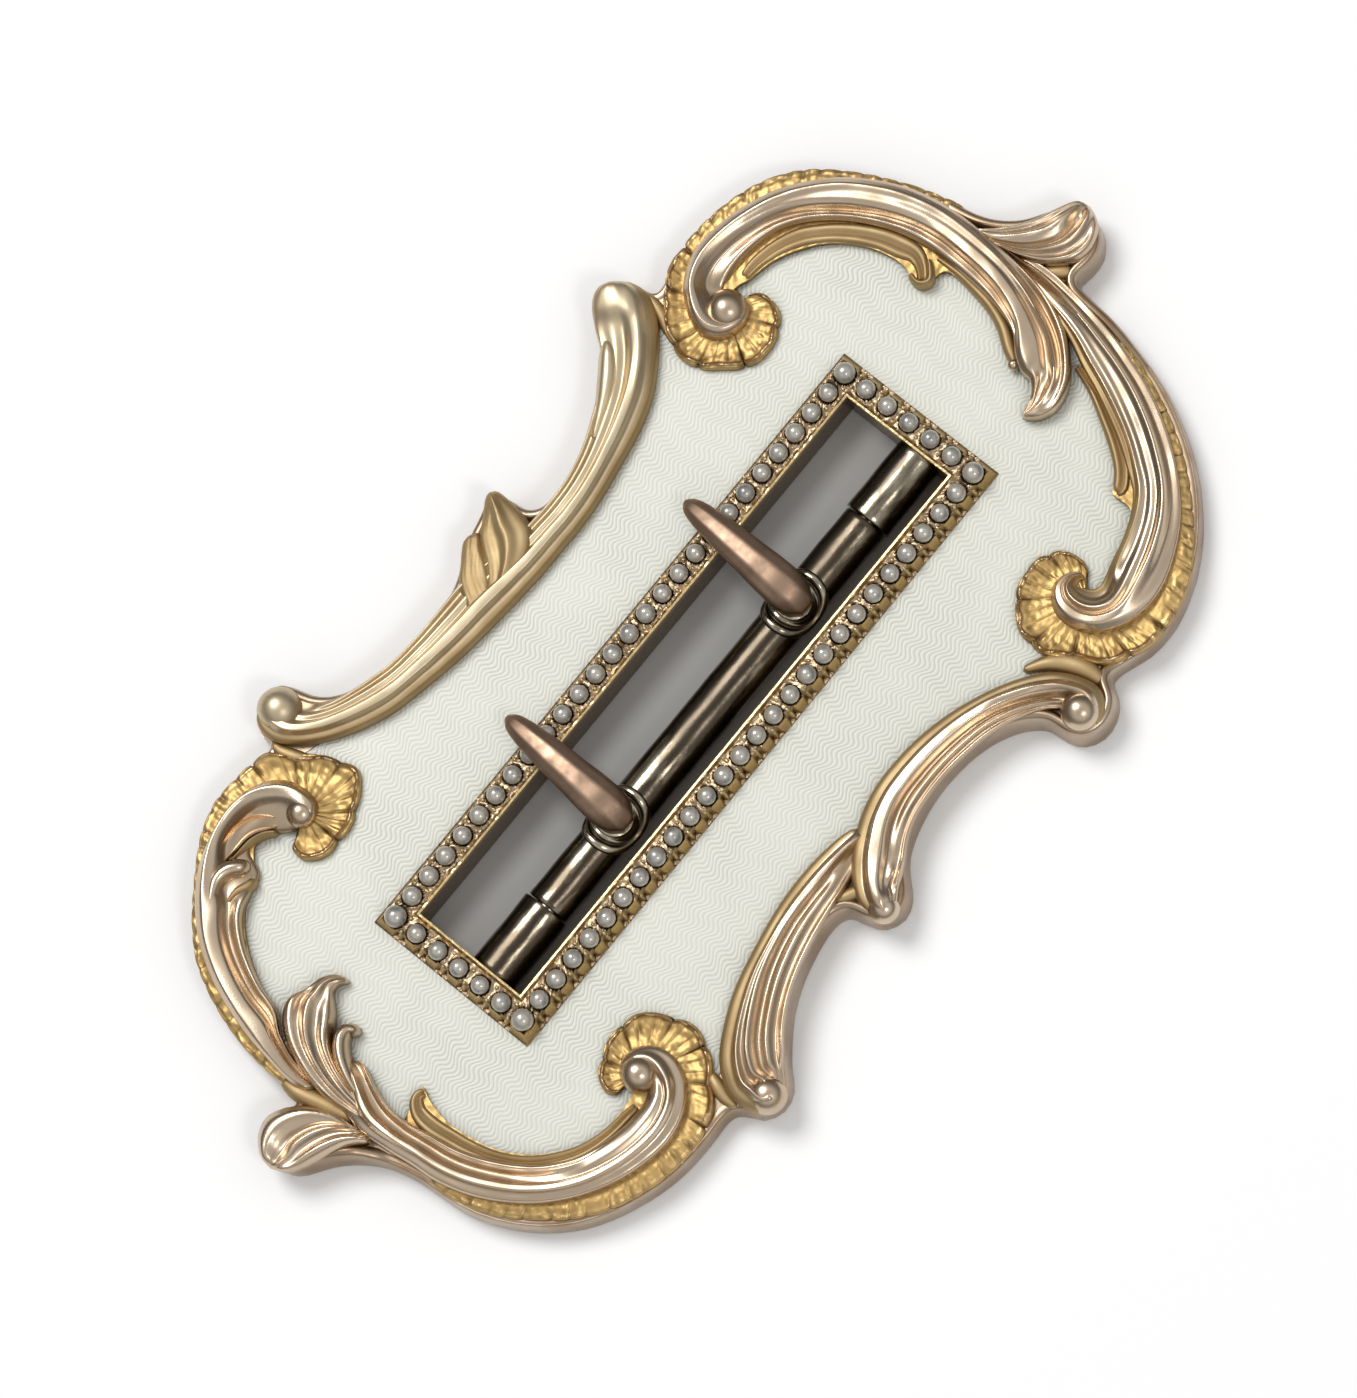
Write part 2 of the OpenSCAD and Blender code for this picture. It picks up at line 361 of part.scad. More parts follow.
module tray() color(yellow) {
    rim = smooth_loop(tray_outline, 2);
    panel = smooth_loop(enamel_outline, 2);
    foot_z = rim_h / 2;
    difference() {
        union() {
            slab(grown(rim, foot_flare), 0, foot_z);
            slab(rim, foot_z, rim_h);
        }
        slab(grown(panel, fit_gap), plate_top, rim_h + 1);
        difference() {
            slab(grown(panel, ledge), -1, plate_bottom);
            block(well_l + 2 * curb_t, well_w + 2 * curb_t, -2, rim_h);
        }
        block(well_l, well_w, -1, rim_h + 1);
    }
}

module enamel_panel() color(ivory) {
    difference() {
        slab(smooth_loop(enamel_outline, 2), plate_top, rim_h);
        block(well_l, well_w, 0, rim_h + 1);
    }
}

// Centres of the pearls, one row after another round the slot.
pearl_x = slot_l / 2 + strip_w * row_share;
pearl_y = slot_w / 2 + strip_w * row_share;
long_steps = pearls_long - 1;
short_steps = pearls_short - 1;
pearl_centres = concat(
    [for (i = [0 : long_steps], s = [-1, 1]) [-pearl_x + 2 * pearl_x * i / long_steps, s * pearl_y]],
    [for (i = [1 : short_steps - 1], s = [-1, 1]) [s * pearl_x, -pearl_y + 2 * pearl_y * i / short_steps]]);
function at_corner(p) = abs(p[0]) > pearl_x - 0.1 && abs(p[1]) > pearl_y - 0.1;
function pearl_size(p) = at_corner(p) ? corner_pearl_d : pearl_d;

module pearl_frame() color(yellow) {
    half_l = slot_l / 2 + strip_w;
    half_w = slot_w / 2 + strip_w;
    difference() {
        union() {
            intersection() {
                rotate([90, 0, 0]) linear_extrude(4 * half_w, center = true) polygon([
                    [-half_l - strip_flare, strip_bottom], [half_l + strip_flare, strip_bottom],
                    [half_l, strip_top], [-half_l, strip_top]]);
                rotate([90, 0, 90]) linear_extrude(4 * half_l, center = true) polygon([
                    [-half_w - strip_flare, strip_bottom], [half_w + strip_flare, strip_bottom],
                    [half_w, strip_top], [-half_w, strip_top]]);
            }
            block(slot_l + 2 * lining_t, slot_w + 2 * lining_t, 0.2, strip_top - 0.2);
        }
        block(slot_l, slot_w, -1, strip_top + 1);
        for (p = pearl_centres) {
            translate([p[0], p[1], pearl_z]) sphere(d = pearl_size(p) + 2 * seat_gap, $fn = 32);
        }
    }
}

module seed_pearls() color(pearl) {
    for (p = pearl_centres) {
        translate([p[0], p[1], pearl_z]) sphere(d = pearl_size(p), $fn = 32);
    }
}

// A cylinder along X from x0 to x1 on the bar's axis.
module along_bar(d, x0, x1) {
    translate([x0, bar_y, bar_z]) rotate([0, 90, 0]) cylinder(d = d, h = x1 - x0, $fn = 48);
}

module sleeve(side) color(oxide) {
    end_x = slot_l / 2;
    bore_d = journal_d + 2 * journal_gap;
    mirror([side < 0 ? 1 : 0, 0, 0]) difference() {
        along_bar(sleeve_d, end_x - sleeve_l, end_x);
        along_bar(bore_d, end_x - sleeve_l - 1, end_x + 1);
    }
}

module prong_bar() color(oxide) {
    inner_x = slot_l / 2 - sleeve_l - end_play;
    journal_x = slot_l / 2 - 2 * end_play;
    union() {
        along_bar(bar_d, -inner_x, inner_x);
        along_bar(journal_d, -journal_x, journal_x);
    }
}

// Upright post of a collar, from just above the bar's axis to the top of the seat.
module post(x, d) {
    foot = 0.3;
    translate([x, bar_y, bar_z + foot]) cylinder(d = d, h = seat_rise - foot, $fn = 64);
}

// The bar thickened all round.
module over_bar(rise) {
    along_bar(bar_d + 2 * rise, -slot_l / 2, slot_l / 2);
}

// Two rings and a seat that lie on the bar like a saddle, one step above the other.
module collar(side) color(oxide) {
    x = side * prong_pitch / 2;
    difference() {
        union() {
            intersection() {
                post(x, collar_d);
                over_bar(ring_rise);
            }
            intersection() {
                post(x, collar_d - 2 * ring_step);
                over_bar(1.6 * ring_rise);
            }
            post(x, collar_d - 4 * ring_step);
        }
        over_bar(film);
    }
}

// A claw swept along its rows.
module claw(side) color(copper) {
    rows = smooth_rows(claw_rows, 2);
    sides = 10;
    points = [for (r = rows, k = [0 : sides - 1])
        let (a = 360 * k / sides,
             u = cos(a) * r[2] / 2,
             v = -sin(a) * r[3] / 2,
             x = side * prong_pitch / 2 + claw_offset + claw_lean * r[0])
        [x + u, bar_y + r[0] - cos(r[4]) * v, r[1] + sin(r[4]) * v]];
    polyhedron(points, tube_faces(len(rows), sides, true), convexity = 6);
}

// A frilled underlay that ends in a shell. Its outer edge is scalloped, once for each row.
module frill(rows, shell, eye) color(yellow) {
    n = 4;
    ribbon = smooth_rows(concat(rows, fan_rows(eye, eye_r, shell)), n);
    shell_start = n * len(rows);
    two_rail([for (i = [0 : len(ribbon) - 1])
        let (r = ribbon[i],
             depth = i < shell_start ? frill_scallop : shell_scallop,
             out = unit([r[0] - r[2], r[1] - r[3]]) * depth * (sin(180 * (i % n) / n) - 0.5))
        [r[0] + out[0], r[1] + out[1], r[2], r[3], base_z + frill_t, base_z]], frill_profile);
}

// A polished scroll on its rails, with a ball at the end if it has one.
module scroll(rows, profile, ball = undef) color(rose) {
    foot_z = rows[len(rows) - 1][5];
    two_rail(smooth_rows(rows, 2), profile);
    if (ball != undef) {
        translate([ball[0], ball[1], 0]) intersection() {
            translate([0, 0, ball[3] - ball[2]]) sphere(r = ball[2], $fn = 12);
            block(3 * ball[2], 3 * ball[2], foot_z, crest_top + 1);
        }
    }
}

module placed() translate(to_origin) children();

placed() tray();
placed() enamel_panel();
placed() pearl_frame();
placed() seed_pearls();
placed() sleeve(-1);  // sleeve_left
placed() sleeve(1);  // sleeve_right
placed() prong_bar();
placed() collar(-1);  // collar_left
placed() collar(1);  // collar_right
placed() claw(-1);  // prong_left
placed() claw(1);  // prong_right
placed() frill(frill_top_left_rows, frill_top_left_shell, frill_top_left_eye);  // frill_top_left
placed() frill(frill_top_right_rows, frill_top_right_shell, frill_top_right_eye);  // frill_top_right
placed() frill(frill_bottom_left_rows, frill_bottom_left_shell, frill_bottom_left_eye);  // frill_bottom_left
placed() frill(frill_bottom_right_rows, frill_bottom_right_shell, frill_bottom_right_eye);  // frill_bottom_right
placed() scroll(scroll_top_left_rows, scroll_profile);  // scroll_top_left
placed() scroll(scroll_top_right_rows, scroll_profile, ball_top_right);  // scroll_top_right
placed() scroll(scroll_bottom_left_rows, scroll_profile, ball_bottom_left);  // scroll_bottom_left
placed() scroll(scroll_bottom_right_rows, scroll_profile);  // scroll_bottom_right
placed() color(rose) two_rail(smooth_rows(leaf_tip_left_rows, 3), leaf_profile);  // leaf_tip_left
placed() color(rose) two_rail(smooth_rows(leaf_tip_right_rows, 3), leaf_profile);  // leaf_tip_right
placed() scroll(side_scroll_top_rows, side_profile, ball_side_top);  // side_scroll_top
placed() scroll(side_scroll_bottom_rows, side_profile, ball_side_bottom);  // side_scroll_bottom
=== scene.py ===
"""Looks of an enamelled belt buckle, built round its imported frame.

The tables are in millimetres, measured from the middle of the strap slot. A piece is put together
in those millimetres as well, and goes into the frame, in metres, when its object is made.
"""

import math

import bpy
import numpy as np
from mathutils import Matrix, Vector


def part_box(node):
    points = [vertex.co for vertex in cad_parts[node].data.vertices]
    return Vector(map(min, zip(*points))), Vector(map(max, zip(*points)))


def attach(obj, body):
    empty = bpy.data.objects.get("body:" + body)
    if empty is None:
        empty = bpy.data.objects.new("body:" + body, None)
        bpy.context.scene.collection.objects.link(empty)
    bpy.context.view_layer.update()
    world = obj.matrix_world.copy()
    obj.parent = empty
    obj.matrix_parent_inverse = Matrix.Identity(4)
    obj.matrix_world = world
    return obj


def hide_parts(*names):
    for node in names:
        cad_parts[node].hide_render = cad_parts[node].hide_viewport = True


bl_info = {
    "name": "Enamelled belt buckle",
    "version": (1, 0, 0),
    "blender": (4, 5, 0),
    "location": "View3D > Sidebar > Buckle",
    "description": "Gilt belt buckle with enamel, seed pearls, cast scrolls and claw prongs",
    "category": "Object",
}

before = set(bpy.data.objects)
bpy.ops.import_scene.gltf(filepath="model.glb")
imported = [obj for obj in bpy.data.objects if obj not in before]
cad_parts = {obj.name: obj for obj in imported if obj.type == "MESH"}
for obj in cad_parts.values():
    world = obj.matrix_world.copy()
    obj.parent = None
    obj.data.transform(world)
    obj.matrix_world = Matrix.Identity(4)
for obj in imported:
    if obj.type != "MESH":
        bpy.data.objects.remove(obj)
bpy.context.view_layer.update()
MM = 0.001


def mm_box(node):
    """Lowest and highest corners of a node, in millimetres."""
    low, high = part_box(node)
    return np.array(low) / MM, np.array(high) / MM


# Places and sizes that the frame gives
STRIP_LOW, STRIP_HIGH = mm_box("pearl_frame")
SLOT_MIDDLE = np.array([*(STRIP_LOW + STRIP_HIGH)[:2] / 2, 0])
STRIP_HALF = (STRIP_HIGH - STRIP_LOW)[:2] / 2
PEARL_LOW, PEARL_HIGH = mm_box("seed_pearls")
SLEEVE_LOW, SLEEVE_HIGH = mm_box("sleeve_right")
BAR_LOW, BAR_HIGH = mm_box("prong_bar")
COLLAR_LOW, COLLAR_HIGH = mm_box("collar_right")
ENAMEL_TOP = mm_box("enamel_panel")[1][2]
FLOOR_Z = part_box("tray")[0].z
BASE = ENAMEL_TOP - 0.02  # cast pieces start a touch inside the plate they lie on

SLEEVE_RADIUS = (SLEEVE_HIGH[2] - SLEEVE_LOW[2]) / 2
AXIS_Z = (SLEEVE_HIGH[2] + SLEEVE_LOW[2]) / 2
AXIS_Y = (SLEEVE_HIGH[1] + SLEEVE_LOW[1]) / 2 - SLOT_MIDDLE[1]
BAR_RADIUS = (BAR_HIGH[2] - BAR_LOW[2]) / 2
COLLAR_RADIUS = (COLLAR_HIGH[0] - COLLAR_LOW[0]) / 2
COLLAR_X = (COLLAR_HIGH[0] + COLLAR_LOW[0]) / 2 - SLOT_MIDDLE[0]
SEAT_TOP = COLLAR_HIGH[2]
SLOT_END = SLEEVE_HIGH[0] - SLOT_MIDDLE[0]
SLEEVE_LENGTH = SLEEVE_HIGH[0] - SLEEVE_LOW[0]
BORE_RADIUS = 0.62 * BAR_RADIUS  # of the sleeves
JOURNAL_RADIUS = 0.59 * BAR_RADIUS  # of the bar's ends, which turn in them

# Camera as the photograph has it
CAMERA_TILT = math.radians(14)
CAMERA_AZIMUTH = math.radians(-107.46)
CAMERA_ROLL = math.radians(-50.48)
CAMERA_TARGET = (-0.37, 0.5, 2.0)  # in millimetres from the slot's middle
IMAGE_WIDTH = 1357
IMAGE_HEIGHT = 1398
FOCAL_PIXELS = 7452
SENSOR = 36


def linear(hex_colour):
    """sRGB hex to a linear RGBA colour."""
    parts = [int(hex_colour[i : i + 2], 16) / 255 for i in (1, 3, 5)]
    values = [c / 12.92 if c <= 0.04045 else ((c + 0.055) / 1.055) ** 2.4 for c in parts]
    return (*values, 1.0)


# Sizes and colours that a user would change


def length(name, description, default):
    """A length property, in metres."""
    return bpy.props.FloatProperty(
        name=name, description=description, default=default * MM, unit="LENGTH", precision=5, min=0
    )


def colour(name, description, hex_colour):
    """A colour property."""
    return bpy.props.FloatVectorProperty(
        name=name, description=description, default=linear(hex_colour), size=4, subtype="COLOR", min=0, max=1
    )


class BuckleSizes(bpy.types.PropertyGroup):
    """Sizes of the fine detail"""

    corner_pearl: length("Corner pearl", "Diameter of the four corner pearls", 1.55)
    pearl: length("Pearl", "Diameter of the other seed pearls", 1.34)
    grain: length("Grain", "Diameter of the grains that hold the pearls", 0.32)
    wave_length: length("Wave length", "Length of one wave of the engine turning", 1.75)
    wave_height: length("Wave height", "Height of a wave above its middle", 0.25)
    wave_drift: length("Wave drift", "Distance over which the waves swing to one side and back", 5.2)
    line_pitch: length("Line pitch", "Distance between two turned lines", 0.34)
    shell_lobe: length("Shell lobe", "Width of a shell's lobe at its edge", 3.2)
    frill_lobe: length("Frill lobe", "Width of a frill's lobe at its edge", 1.4)
    stipple: length("Stipple", "Distance between the punched dots of a leaf", 0.34)


class BuckleFinishes(bpy.types.PropertyGroup):
    """Colours of the metals, the enamel and the pearls"""

    rose: colour("Rose gold", "Polished scrolls", "#cfc0ad")
    champagne: colour("Champagne gold", "Satin scroll above the slot", "#d0c4ab")
    # Painted shade in the scrolls' hollows
    rose_hollow_shade: colour("Rose gold grooves", "Hollows of the scrolls", "#937c5a")
    yellow: colour("Yellow gold", "Frosted frills and fillets", "#c0a068")
    # Painted shade in the frills' cracks
    yellow_crack_shade: colour("Yellow gold grooves", "Cracks of the frills", "#6c522e")
    fillet: colour("Fillets", "Matte yellow fillets beside the scrolls", "#b9a57f")
    # Painted highlight: paler colour on the shells' raised line
    rolled_edge_highlight: colour("Rolled edges", "Burnished edges of the shells", "#d2b691")
    tray: colour("Gilt silver", "Wall of the tray", "#b3a18c")
    strip: colour("Pink gilt", "Strip that holds the pearls", "#a18d73")
    copper: colour("Red gold", "Claws", "#a78c76")
    silver: colour("Rubbed silver", "Bar where it is worn bright", "#b5ab96")
    oxide: colour("Oxide", "Bar where it is black", "#3f3b35")
    enamel_light: colour("Enamel", "Enamel over the turned lines' flanks", "#dadacf")
    enamel_dark: colour("Enamel lines", "Enamel over the bottoms of the turned lines", "#b0b2a5")
    pearl: colour("Pearl", "Body of the seed pearls", "#bab6ad")
    paper: colour("Paper", "Floor", "#fcfcfc")
    # Painted shade: a grey card that darkens the floor seen through the slot
    card: colour("Grey card", "Card under the slot", "#a3a19e")


class BuckleStage(bpy.types.PropertyGroup):
    """Camera and light"""

    camera_distance: length("Camera distance", "From the camera to the buckle", 500)
    lamp_distance: length("Lamp distance", "From the side lamp to the buckle", 1200)
    lamp_size: length("Lamp size", "Diameter of the side lamp", 560)
    lamp_power: bpy.props.FloatProperty(
        name="Lamp power", description="Power of the side lamp", default=7.4, unit="POWER"
    )
    head_size: length("Head lamp size", "Diameter of the lamp beside the camera", 260)
    head_power: bpy.props.FloatProperty(
        name="Head lamp power", description="Power of the lamp beside the camera", default=1.8, unit="POWER"
    )
    tent: bpy.props.FloatProperty(
        name="Tent", description="Brightness of the light tent", default=0.725, min=0
    )


# Curves


def smooth(rows, steps):
    """Rows of a table with steps between each pair, on a curve through them."""
    rows = np.asarray(rows, float)
    padded = np.concatenate([rows[:1], rows, rows[-1:]])
    t = np.linspace(0, 1, steps, endpoint=False)[:, None]
    pieces = []
    for p0, p1, p2, p3 in zip(padded, padded[1:], padded[2:], padded[3:]):
        bend = 2 * p0 - 5 * p1 + 4 * p2 - p3
        twist = 3 * p1 - p0 - 3 * p2 + p3
        pieces.append(0.5 * (2 * p1 + (p2 - p0) * t + bend * t**2 + twist * t**3))
    return np.concatenate([*pieces, rows[-1:]])


def run_along(points):
    """Distance along a line to each of its points."""
    return np.concatenate([[0], np.cumsum(np.linalg.norm(np.diff(points, axis=0), axis=1))])


def evenly(rows, spacing, steps):
    """Two-rail rows at an even spacing in millimetres, with the distance and the place along them."""
    fine = smooth(rows, steps)
    run = run_along((fine[:, 0:2] + fine[:, 2:4]) / 2)
    wanted = np.linspace(0, run[-1], max(6, int(run[-1] / spacing)))
    even = np.stack([np.interp(wanted, run, column) for column in fine.T], axis=1)
    return even, wanted, np.interp(wanted, run, np.arange(len(fine)) / steps)


def rails(rows):
    """Middle line rows (x, y, half width, top) as two-rail rows (outer x, y, inner x, y, top)."""
    fine = smooth(rows, 4)
    ahead = np.gradient(fine[:, 0:2], axis=0)
    ahead /= np.linalg.norm(ahead, axis=1, keepdims=True)
    side = np.stack([-ahead[:, 1], ahead[:, 0]], axis=1) * fine[:, 2:3]
    return np.concatenate([fine[:, 0:2] + side, fine[:, 0:2] - side, fine[:, 3:4]], axis=1)


def relief_at(rows, place):
    """Relief rows, without their column of places, at the given places along the rails."""
    fine = smooth(rows, 8)
    return np.stack([np.interp(place, fine[:, 0], column) for column in fine[:, 1:].T], axis=1)


NOSE_HEIGHT = 0.3  # at the very end of a nose, as a share of the full height


def between_rails(even, run, share, least):
    """Points at shares of the way across the rails, drawn in to a round nose at each end.

    Gives the points, the share of the width and the share of the height that the noses leave, and the
    full width. A nose is as long as half the width there, but no less than half of least.
    """
    middle, half = (even[:, 0:2] + even[:, 2:4]) / 2, (even[:, 2:4] - even[:, 0:2]) / 2
    width = 2 * np.linalg.norm(half, axis=1)
    nose = np.minimum(run / max(width[0], least), (run[-1] - run) / max(width[-1], least)) * 2
    nose = np.sqrt(1 - (1 - np.clip(nose, 0.001, 1)) ** 2)[:, None]
    xy = middle[:, None] + half[:, None] * (2 * share[..., None] - 1) * nose[..., None]
    return xy, nose, NOSE_HEIGHT + (1 - NOSE_HEIGHT) * nose, width[:, None]


LEAST_GAP = 0.002  # between two crests or hollows, as a share of the width
EDGE_SLOPE = 2.4  # how much steeper than a straight line the first and the last stretch start


def across_crests(shares, tops, steps):
    """A smooth line over each row's crests and hollows that adds none of its own: shares across, tops."""
    gap = np.maximum(np.diff(shares, axis=1), LEAST_GAP)
    rise = np.diff(tops, axis=1) / gap
    before, after = rise[:, :-1], rise[:, 1:]
    same_way = before * after > 0
    middle = np.where(same_way, 2 * before * after / np.where(same_way, before + after, 1), 0)
    slope = np.concatenate([EDGE_SLOPE * rise[:, :1], middle, EDGE_SLOPE * rise[:, -1:]], axis=1)[..., None]
    u = np.linspace(0, 1, steps, endpoint=False)
    share = shares[:, :-1, None] + gap[..., None] * u
    z = tops[:, :-1, None] * (1 + 2 * u) * (1 - u) ** 2 + tops[:, 1:, None] * u * u * (3 - 2 * u)
    z = z + gap[..., None] * (slope[:, :-1] * u * (1 - u) ** 2 + slope[:, 1:] * u * u * (u - 1))
    count = len(shares)
    share = np.concatenate([share.reshape(count, -1), shares[:, -1:]], axis=1)
    return share, np.concatenate([z.reshape(count, -1), tops[:, -1:]], axis=1)


def section_points(section, count):
    """A section's (share across, share of height) points, evenly spaced along its curve."""
    fine = smooth(section, 12)
    run = run_along(fine)
    wanted = np.linspace(0, run[-1], count)
    return np.stack([np.interp(wanted, run, fine[:, k]) for k in (0, 1)], axis=1)


def ease(low, high, values):
    """0 below low, 1 above high and a smooth step between."""
    t = np.clip((values - low) / (high - low), 0, 1)
    return t * t * (3 - 2 * t)


def bell(values, middle, width):
    """A smooth bump of height 1."""
    return np.exp(-(((values - middle) / width) ** 2))


def ripple(x, y, size, seed, waves=7):
    """Seeded unevenness of about 1 each way, with lumps of the given size."""
    rng = np.random.default_rng(seed)
    total = 0
    for _ in range(waves):
        angle, phase = rng.uniform(0, 2 * np.pi, 2)
        step = 2 * np.pi / (size * rng.uniform(1.4, 2.8))
        total = total + np.sin((x * np.cos(angle) + y * np.sin(angle)) * step + phase)
    return total / math.sqrt(waves)


def upper_part(height):
    """0 up to a height of a third, and 1 from two thirds up."""
    return np.clip(height * 3 - 1, 0, 1)


def hand_worked(xy):
    """Slight unevenness of cast metal that was filed and burnished by hand."""
    return 0.012 * ripple(xy[..., 0], xy[..., 1], 1.1, 5)


# Meshes


def tube_faces(rings, count, closed=False):
    """Faces of a tube of rings of points, with a fan at each end, or joined end to end."""
    steps = rings if closed else rings - 1
    i, k = np.meshgrid(np.arange(steps), np.arange(count), indexing="ij")
    a, b = i * count + k, i * count + (k + 1) % count
    c, d = (i + 1) % rings * count + (k + 1) % count, (i + 1) % rings * count + k
    quads = np.stack([a, d, c, b], axis=-1).reshape(-1, 4).tolist()
    if closed:
        return quads
    last = (rings - 1) * count
    first_cap = [[0, j, j + 1] for j in range(1, count - 1)]
    last_cap = [[last, last + j + 1, last + j] for j in range(1, count - 1)]
    return quads + first_cap + last_cap


class Sculpt:
    """Points, faces and per-point values of a piece that is being put together."""

    def __init__(self, satin=0.0):
        self.satin = satin
        self.points = []
        self.faces = []
        # Per point: depth, which the finishes mostly turn into painted shade, and tint, a share of a second
        # colour: matte yellow on the scrolls, a painted highlight on the strip and the shells
        self.values = {"depth": [], "tint": []}
        self.count = 0

    def add(self, points, faces, depth=0.0, tint=0.0):
        """Adds a closed part whose points are in millimetres from the slot's middle."""
        points = np.asarray(points, float).reshape(-1, 3)
        corners = points[[face[:3] for face in faces]]
        volume = np.einsum("ij,ij->i", corners[:, 0], np.cross(corners[:, 1], corners[:, 2])).sum()
        turn = -1 if volume < 0 else 1
        self.points.append(points)
        self.faces += [[i + self.count for i in face[::turn]] for face in faces]
        for name, value in (("depth", depth), ("tint", np.maximum(tint, self.satin))):
            self.values[name].append(np.broadcast_to(np.asarray(value, float).ravel(), len(points)))
        self.count += len(points)

    def sweep(self, rows, section, tint, relief):
        """Adds a strand with rounded ends along middle line rows."""
        spacing, count = 0.2, 26
        even, run, _ = evenly(rails(rows), spacing, 24)
        share, height = section_points(section, count).T[:, None]
        xy, nose, left, width = between_rails(even, run, share, 0.2)
        crown = upper_part(height)
        z = BASE + (even[:, 4:] - BASE) * height * left
        if relief is not None:
            z = z + relief(run[:, None], share, width) * crown * nose
        z = z + hand_worked(xy) * crown
        points = np.concatenate([xy, z[..., None]], axis=2)
        self.add(points, tube_faces(len(even), count), np.broadcast_to(1 - height, z.shape), tint)

    def loft(self, guide, rows, yellow, dots):
        """Adds a cast body between guide rails, with crests and hollows that run along it."""
        spacing, steps = 0.18, 7
        even, run, place = evenly(guide, spacing, 16)
        relief = relief_at(rows, place)
        outer, inner = np.zeros((len(run), 1)), np.ones((len(run), 1))
        shares = np.concatenate([outer, relief[:, 1:-1:2], inner], axis=1)
        tops = np.concatenate([relief[:, :1], relief[:, 2:-1:2], relief[:, -1:]], axis=1)
        share, z = across_crests(shares, tops, steps)
        share = np.concatenate([outer, share, inner], axis=1)
        z = np.concatenate([outer + BASE, z, outer + BASE], axis=1)
        xy, _, left, width = between_rails(even, run, share, 0.3)
        depth = 1 - (z - BASE) / (z.max(axis=1, keepdims=True) - BASE)
        crown = upper_part(z - BASE)
        if dots:
            along = ease(dots[0], dots[0] - 0.6, place)[:, None]
            across = ease(dots[1], dots[1] - 0.05, share)
            z = z + stipple(run[:, None], share, width) * crown * along * across
        z = BASE + (z - BASE) * left
        z = z + hand_worked(xy) * crown
        points = np.concatenate([xy, z[..., None]], axis=2)
        matte = ease(yellow - 0.02, yellow + 0.02, share)
        self.add(points, tube_faces(len(even), points.shape[1]), depth, matte)

    def ball(self, place, radius, rows, columns, squash=1.0, tint=0.0):
        """Adds a ball, or one that is squashed or stretched along Z."""
        down = np.linspace(0.02, np.pi - 0.02, rows)
        around = np.linspace(0, 2 * np.pi, columns, endpoint=False)
        a, b = np.meshgrid(down, around, indexing="ij")
        way = np.stack([np.sin(a) * np.cos(b), np.sin(a) * np.sin(b), np.cos(a) * squash], axis=-1)
        self.add(np.asarray(place) + radius * way, tube_faces(rows, columns), tint=tint)

    def lathe(self, profile, columns=96, dark=0.0):
        """Adds a body turned round the bar's axis from (x, radius) points, slightly dented outside."""
        profile = np.asarray(profile, float)
        b = np.linspace(0, 2 * np.pi, columns, endpoint=False)[None]
        x, radius = profile[:, :1], profile[:, 1:]
        outside = radius > (JOURNAL_RADIUS + BAR_RADIUS) / 2
        dent = 1 + 0.006 * ripple(x + 0 * b, 1.6 * np.cos(b) + 0 * x, 1.4, 3) * outside
        y, z = AXIS_Y + radius * dent * np.cos(b), AXIS_Z + radius * dent * np.sin(b)
        self.add(np.stack([x + 0 * b, y, z], axis=-1), tube_faces(len(profile), columns), dark + 0 * y)

    def piece(self, name, material, slot, body, *nodes, sharp=50):
        """Makes the object, and lets it stand for its CAD nodes."""
        mesh = bpy.data.meshes.new(name)
        mesh.from_pydata(((np.concatenate(self.points) + SLOT_MIDDLE) * MM).tolist(), [], self.faces)
        for key, parts in self.values.items():
            attribute = mesh.attributes.new(key, "FLOAT", "POINT")
            attribute.data.foreach_set("value", np.concatenate(parts).astype(np.float32))
        mesh.polygons.foreach_set("use_smooth", [True] * len(mesh.polygons))
        mesh.set_sharp_from_angle(angle=math.radians(sharp))
        mesh.materials.append(material)
        if mesh.validate():
            raise RuntimeError("the mesh of " + name + " had faulty faces")
        made = bpy.data.objects.new(name, mesh)
        bpy.context.scene.collection.objects.link(made)
        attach(made, body)
        if nodes:
            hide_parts(*nodes)
        return made


# Sections across a strand, from its outer rail (0) to its inner rail (1): (across, height)
ROUND = [(0, 0), (0, 0.42), (0.03, 0.56), (0.1, 0.75), (0.25, 0.92), (0.5, 1), (0.75, 0.92), (0.9, 0.75),
         (0.97, 0.56), (1, 0.42), (1, 0)]
FLUTE = [(0, 0), (0, 0.8), (0.05, 0.68), (0.18, 0.5), (0.38, 0.42), (0.6, 0.46), (0.8, 0.66), (0.92, 0.9),
         (0.97, 1), (1, 0.92), (1, 0)]
REED = [(0, 0), (0, 0.55), (0.04, 0.78), (0.14, 0.97), (0.3, 0.93), (0.42, 0.8), (0.5, 0.84), (0.62, 0.97),
        (0.76, 1), (0.9, 0.85), (0.97, 0.65), (1, 0.5), (1, 0)]
PUNCH_DEPTH = 0.03


def stipple(run, share, width):
    """Rows of punched dots, from the distance along a leaf, the share across it and its width."""
    pitch = bpy.context.scene.buckle_sizes.stipple / MM
    row = share * width / pitch
    shift = np.pi * np.floor(row)
    dot = np.cos(2 * np.pi * run / pitch + shift) * np.sin(np.pi * (row - np.floor(row))) ** 2
    return -PUNCH_DEPTH * np.clip(dot, 0, 1)


